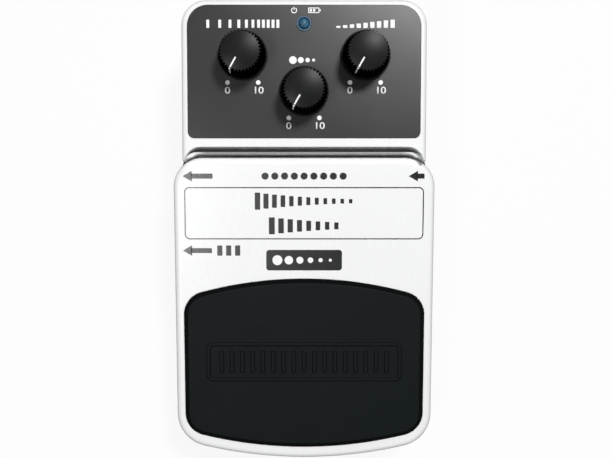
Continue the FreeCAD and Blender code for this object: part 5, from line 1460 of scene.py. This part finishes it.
@dataclass
class TreadlePad:
    """The treadle's rubber pad: a moulded sheet with a rounded rim, a raised frame and grip ribs."""

    palette: Palette
    rim_start: float = 0.3
    rim_top: float = 0.5
    rim_width: float = 1.1
    ease: float = 0.16
    top: float = 1.0
    sunk: float = 0.2
    frame_size: Point = (53.0, 10.8)
    frame_place: float = -42.3
    frame_corner: float = 1.8
    frame_band: float = 1.0
    frame_rise: float = 0.3
    rib_count: int = 17
    rib_pitch: float = 2.8
    rib_size: Point = (1.1, 6.0)
    rib_edge: float = 0.18

    def build(self) -> list[Piece]:
        """Shape the sheet, add what stands on it and set it in the treadle.

        Returns:
            The finished pieces.
        """
        pad = join([self.sheet(), self.raised_frame(), *self.ribs()], "moulded_pad")
        lay(pad, Plane.TREADLE.matrix())
        self.palette.wear(smooth(pad, 40.0, True), "black_rubber")
        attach(pad, "treadle")
        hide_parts("treadle_pad")
        return [pad]

    def sheet(self) -> Piece:
        """Cut the solid's outline above the treadle and draw it up again with a sloping rim.

        Returns:
            The sheet, level.
        """
        sheet = lay(solid("treadle_pad", "pad_sheet"), Plane.TREADLE.matrix().inverted())
        near = 1e-3
        with editing(sheet):
            bpy.ops.mesh.bisect(plane_co=(0.0, 0.0, self.rim_start), plane_no=(0.0, 0.0, 1.0),
                                use_fill=True, clear_outer=True, threshold=1e-5)
        with choosing(sheet, "FACE", lambda face: face.center.z > self.rim_start - near):
            bpy.ops.mesh.dissolve_limited(angle_limit=math.radians(1.0))
            extrude(0.0, 0.0, self.rim_top - self.rim_start)
            bpy.ops.mesh.inset(thickness=self.rim_width, depth=self.top - self.rim_top)
        for level in (self.top, self.rim_top):
            with choosing(sheet, "EDGE", lambda edge: all(
                    abs(sheet.data.vertices[number].co.z - level) < near for number in edge.vertices)):
                bpy.ops.mesh.bevel(offset=self.ease, segments=3, affect="EDGES")
        return merge(sheet)

    def raised_frame(self) -> Piece:
        """Draw a rounded band and raise it, its edges eased.

        Returns:
            The frame, level.
        """
        band = hollow(flat(0.0, self.frame_place, self.top - self.sunk, *self.frame_size,
                           self.frame_corner), self.frame_band)
        with editing(band, "FACE"):
            extrude(0.0, 0.0, self.frame_rise + self.sunk)
            bpy.ops.mesh.select_mode(type="EDGE")
            bpy.ops.mesh.region_to_loop()
            bpy.ops.mesh.bevel(offset=self.ease, segments=3, affect="EDGES")
        return merge(band)

    def ribs(self) -> list[Piece]:
        """Make one rib with rounded edges and copy it along the frame.

        Returns:
            The ribs.
        """
        first = block(0.0, self.frame_place, self.top - self.sunk, *self.rib_size,
                      self.frame_rise + self.sunk, self.rib_edge)
        ribs = [first]
        for number in range(1, self.rib_count):
            rib = twin(first)
            rib.location.x = self.rib_pitch * ((number + 1) // 2) * (-1) ** number
            ribs.append(rib)
        return ribs


@dataclass
class GripMat:
    """The rubber mat under the base: eased edges, and a sunk field of moulded lozenges."""

    palette: Palette
    ease: float = 0.2
    field_place: float = 1.0
    field_size: Point = (46.0, 92.0)
    field_corner: float = 5.0
    field_depth: float = 0.35
    spare: float = 0.5
    downward: float = -0.9
    underside: float = 0.1

    def build(self) -> list[Piece]:
        """Sink the field, ease the rim of the solid's outline and lay the mat.

        Returns:
            The finished pieces.
        """
        mat = solid("rubber_mat", "grip_mat")
        tool = flat(0.0, self.field_place, -self.spare, *self.field_size, self.field_corner)
        with editing(tool, "FACE"):
            extrude(0.0, 0.0, self.spare + self.field_depth)
            turn_outwards()
        carve(mat, lay(tool, placed(0.0, 0.0, 0.0)))
        with choosing(mat, "FACE", lambda face: (
                face.normal.z < self.downward and face.center.z < self.underside * MM)):
            bpy.ops.mesh.select_mode(type="EDGE")
            bpy.ops.mesh.region_to_loop()
            bpy.ops.mesh.bevel(offset=self.ease * MM, segments=3, affect="EDGES")
        self.palette.wear(smooth(mat, 40.0, True), "grip_rubber")
        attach(mat, "base")
        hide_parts("rubber_mat")
        return [mat]


@dataclass(frozen=True)
class Coil:
    """The sizes of a closed-end coil spring."""

    radius: float
    wire: float
    length: float
    active: int


@dataclass
class Springs:
    """The coil springs of the treadle, its hinge pins and the switch plunger, with closed ends."""

    palette: Palette
    slot: str = "steel_pin"
    around: int = 10
    steps: int = 20
    treadle_coil: Coil = Coil(3.0, 0.7, 4.61, 2)
    pin_coil: Coil = Coil(1.9, 0.5, 12.6, 6)
    plunger_coil: Coil = Coil(2.3, 0.45, 8.0, 5)
    treadle_places: Sequence[Triple] = ((-15.0, -13.6, 24.05), (15.0, -13.6, 24.05))
    pin_place: Triple = (15.45, 9.0, 26.3)
    plunger_place: Triple = (0.0, -13.6, 12.25)

    def build(self) -> list[Piece]:
        """Wind each spring and set it between what it pushes apart.

        Returns:
            The finished pieces.
        """
        returns = join(copies(self.coil("return_coil", self.treadle_coil),
                              [placed(*place) for place in self.treadle_places]), "return_coils")
        self.finish(returns, "base", "return_springs")
        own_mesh(returns)
        sides = ((-1, "left"), (1, "right"))
        x, y, z = self.pin_place
        pins = copies(self.coil("pin_coil", self.pin_coil),
                      [placed(side * x, y, z, side * math.pi / 2, "Y") for side, _ in sides])
        for coil, (side, name) in zip(pins, sides):
            self.finish(named(coil, "pin_coil_" + name), "base", "pin_spring_" + name)
            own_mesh(coil)
        plunger = lay(self.coil("plunger_coil", self.plunger_coil), placed(*self.plunger_place))
        self.finish(plunger, "base", "plunger_spring")
        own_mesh(plunger)
        return [returns, *pins, plunger]

    def finish(self, coil: Piece, body: str, node: str) -> None:
        """Dress a coil and let it stand for its node.

        Args:
            coil: The coil.
            body: The body that it rides on.
            node: The CAD node that it replaces.
        """
        self.palette.wear(coil, self.slot)
        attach(coil, body)
        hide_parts(node)

    def coil(self, name: str, sizes: Coil) -> Piece:
        """Wind a spring up the Z axis, with a closed turn at each end.

        Args:
            name: The name of the coil.
            sizes: Its sizes.

        Returns:
            The coil, upright at the origin.
        """
        runs, wire, level = [], sizes.wire, sizes.wire / 2.0
        for turns, rise in ((1, wire), (sizes.active, sizes.length - 3.0 * wire), (1, wire)):
            clear()
            bpy.ops.mesh.primitive_circle_add(vertices=self.around, radius=wire / 2.0,
                                              location=(sizes.radius, 0.0, level),
                                              rotation=(math.pi / 2.0, 0.0, 0.0))
            run = settle(new())
            steps = self.steps * turns
            apply(run, "SCREW", {"axis": "Z", "angle": TURN * turns, "screw_offset": rise,
                                 "steps": steps, "render_steps": steps,
                                 "use_merge_vertices": False})
            runs.append(run)
            level += rise
        whole = join(runs, name)
        with editing(whole):
            bpy.ops.mesh.remove_doubles(threshold=1e-3)
            bpy.ops.mesh.select_all(action="SELECT")
            bpy.ops.mesh.fill_holes(sides=self.around)
            turn_outwards()
        return smooth(whole, 50.0)


@dataclass
class PointerTails:
    """The pointer line of each knob, carried on over the rim and part of the way down its side."""

    palette: Palette
    turn: float = -120.0
    level: float = 0.4
    top: Point = (5.12, 11.4)
    foot: Point = (5.67, 5.2)
    wide: float = 0.38
    thick: float = 0.3
    edge: float = 0.08

    def build(self) -> list[Piece]:
        """Shape one line and copy it to each knob.

        Returns:
            The finished pieces.
        """
        turned = Matrix.Rotation(math.radians(self.turn), 4, "Z")
        tails = copies(self.line(), [Plane.PANEL.seat(x, along, self.level) @ turned
                                     for x, along in KNOBS.values()])
        for tail, name in zip(tails, KNOBS):
            named(tail, "pointer_tail_" + name)
            self.palette.wear(tail, "pointer_white")
            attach(smooth(tail), "knob_" + name)
        return tails

    def line(self) -> Piece:
        """Shape a thin bar that leans with the knob's side.

        Returns:
            The line, upright, on the side of +X.
        """
        (top_r, top_z), (foot_r, foot_z) = self.top, self.foot
        bar = block((top_r + foot_r) / 2.0, 0.0, foot_z, self.thick, self.wide, top_z - foot_z,
                    self.edge)
        middle, lean = (top_z + foot_z) / 2.0, (top_r - foot_r) / 2.0
        for side in (1, -1):
            with choosing(bar, "VERT", lambda vertex: (vertex.co.z - middle) * side > 0):
                bpy.ops.transform.translate(value=(lean * side, 0.0, 0.0))
        return bar


@dataclass
class Studio:
    """Pale floor, soft lights and the camera straight above."""

    image_width: int = 611
    image_height: int = 458
    focal_px: float = 932.0
    camera: Triple = (0.0, 2.0, 284.0)
    centre_px: Point = (304.1, 229.0)
    aim: Triple = (0.0, 0.0, 0.03)
    lamps: Sequence[tuple[str, Triple, float, float]] = (
        ("key_softbox", (0.2, 0.31, 0.9), 0.14, 7.1),
        ("fill_softbox", (-0.28, -0.2, 0.9), 0.14, 2.3),
        ("side_softbox", (-0.9, 0.1, 0.25), 0.4, 0.6))
    surround: float = 0.11
    floor_size: float = 6.0
    window: Point = (26.0, 50.0)

    def build(self) -> None:
        """Set the stage: a key at the upper right, a fill at the lower left, a low side light."""
        self.floor()
        for name, place, size, power in self.lamps:
            self.lamp(name, place, size, power)
        self.world()
        self.shoot()
        bpy.context.scene.view_settings.view_transform = "Standard"

    def floor(self) -> None:
        """Lay a pale floor that shows white around the object's shadow and clear from below."""
        clear()
        bpy.ops.mesh.primitive_plane_add(size=self.floor_size, location=(0.0, 0.0, -0.05 * MM))
        floor = settle(new())
        floor.name = "floor"
        sheet = NodeSheet(bpy.data.materials.new("floor_paper"))
        seen, mirrored, through = (sheet.node("ShaderNodeLightPath", {}, (), "Is %s Ray" % kind)
                                   for kind in ("Camera", "Glossy", "Transmission"))
        tone = sheet.blend(sheet.blend(grey(0.32), grey(0.1), mirrored), grey(0.8), seen)
        sheet.dress(Base_Color=tone, Roughness=0.9, Specular_IOR_Level=0.1)
        glow = sheet.node("ShaderNodeEmission", {}, {"Color": grey(1.0), "Strength": 1.0})
        share = (seen * 0.9 + through * 0.25).clipped()
        paper = Signal(sheet, sheet.shader().outputs[0])
        mixed = sheet.node("ShaderNodeMixShader", {}, (share, paper, glow))
        place, (half_x, half_y) = sheet.place(), self.window
        under = ((abs(sheet.axis(place, "X")) < half_x) * (abs(sheet.axis(place, "Y")) < half_y)
                 + sheet.node("ShaderNodeNewGeometry", {}, (), "Backfacing")).clipped()
        clear_paper = sheet.node("ShaderNodeBsdfTransparent", {})
        final = sheet.node("ShaderNodeMixShader", {}, (under, mixed, clear_paper))
        sheet.show(final)
        floor.data.materials.append(sheet.owner)

    def lamp(self, name: str, place: Triple, size: float, power: float) -> None:
        """Hang one square softbox that looks at the object.

        Args:
            name: The name of the lamp.
            place: Where it hangs, in metres.
            size: The length of its side, in metres.
            power: Its power in watts.
        """
        data = bpy.data.lights.new(name, "AREA")
        data.size = size
        data.energy = power
        lamp = bpy.data.objects.new(name, data)
        bpy.context.collection.objects.link(lamp)
        lamp.location = place
        lamp.rotation_euler = (Vector(place) - Vector(self.aim)).to_track_quat("Z", "Y").to_euler()

    def world(self) -> None:
        """Give a soft surround that the camera sees as white."""
        sheet = NodeSheet(bpy.data.worlds.new("surround"))
        bpy.context.scene.world = sheet.owner
        seen = sheet.node("ShaderNodeLightPath", {}, (), "Is Camera Ray")
        soft, white = (sheet.node("ShaderNodeBackground", {}, {"Color": grey(1.0), "Strength": strength})
                       for strength in (self.surround, 1.0))
        sheet.show(sheet.node("ShaderNodeMixShader", {}, (seen, soft, white)), "World Output")

    def shoot(self) -> None:
        """Place the camera straight above, its frame shifted to the photograph's."""
        data = bpy.data.cameras.new("camera")
        data.sensor_width = 36.0
        data.lens = data.sensor_width * self.focal_px / self.image_width
        data.shift_x = (self.image_width / 2 - self.centre_px[0]) / self.image_width
        data.shift_y = (self.centre_px[1] - self.image_height / 2) / self.image_width
        camera = bpy.data.objects.new("camera", data)
        bpy.context.collection.objects.link(camera)
        camera.location = Vector(self.camera) * MM
        bpy.context.scene.camera = camera


def main() -> None:
    """Build every sub-assembly in order."""
    logging.basicConfig(level=logging.INFO, format="%(name)s: %(message)s")
    palette = Palette()
    palette.build()
    for kit in (PanelMarks, TreadleMarks, JackFronts, BaseScrews, LampLens, TreadlePad, GripMat,
                Springs, PointerTails):
        for piece in kit(palette).build():
            LOG.info("%s: %d faces", piece.name, len(piece.data.polygons))
    Studio().build()


if __name__ == "__main__":
    main()
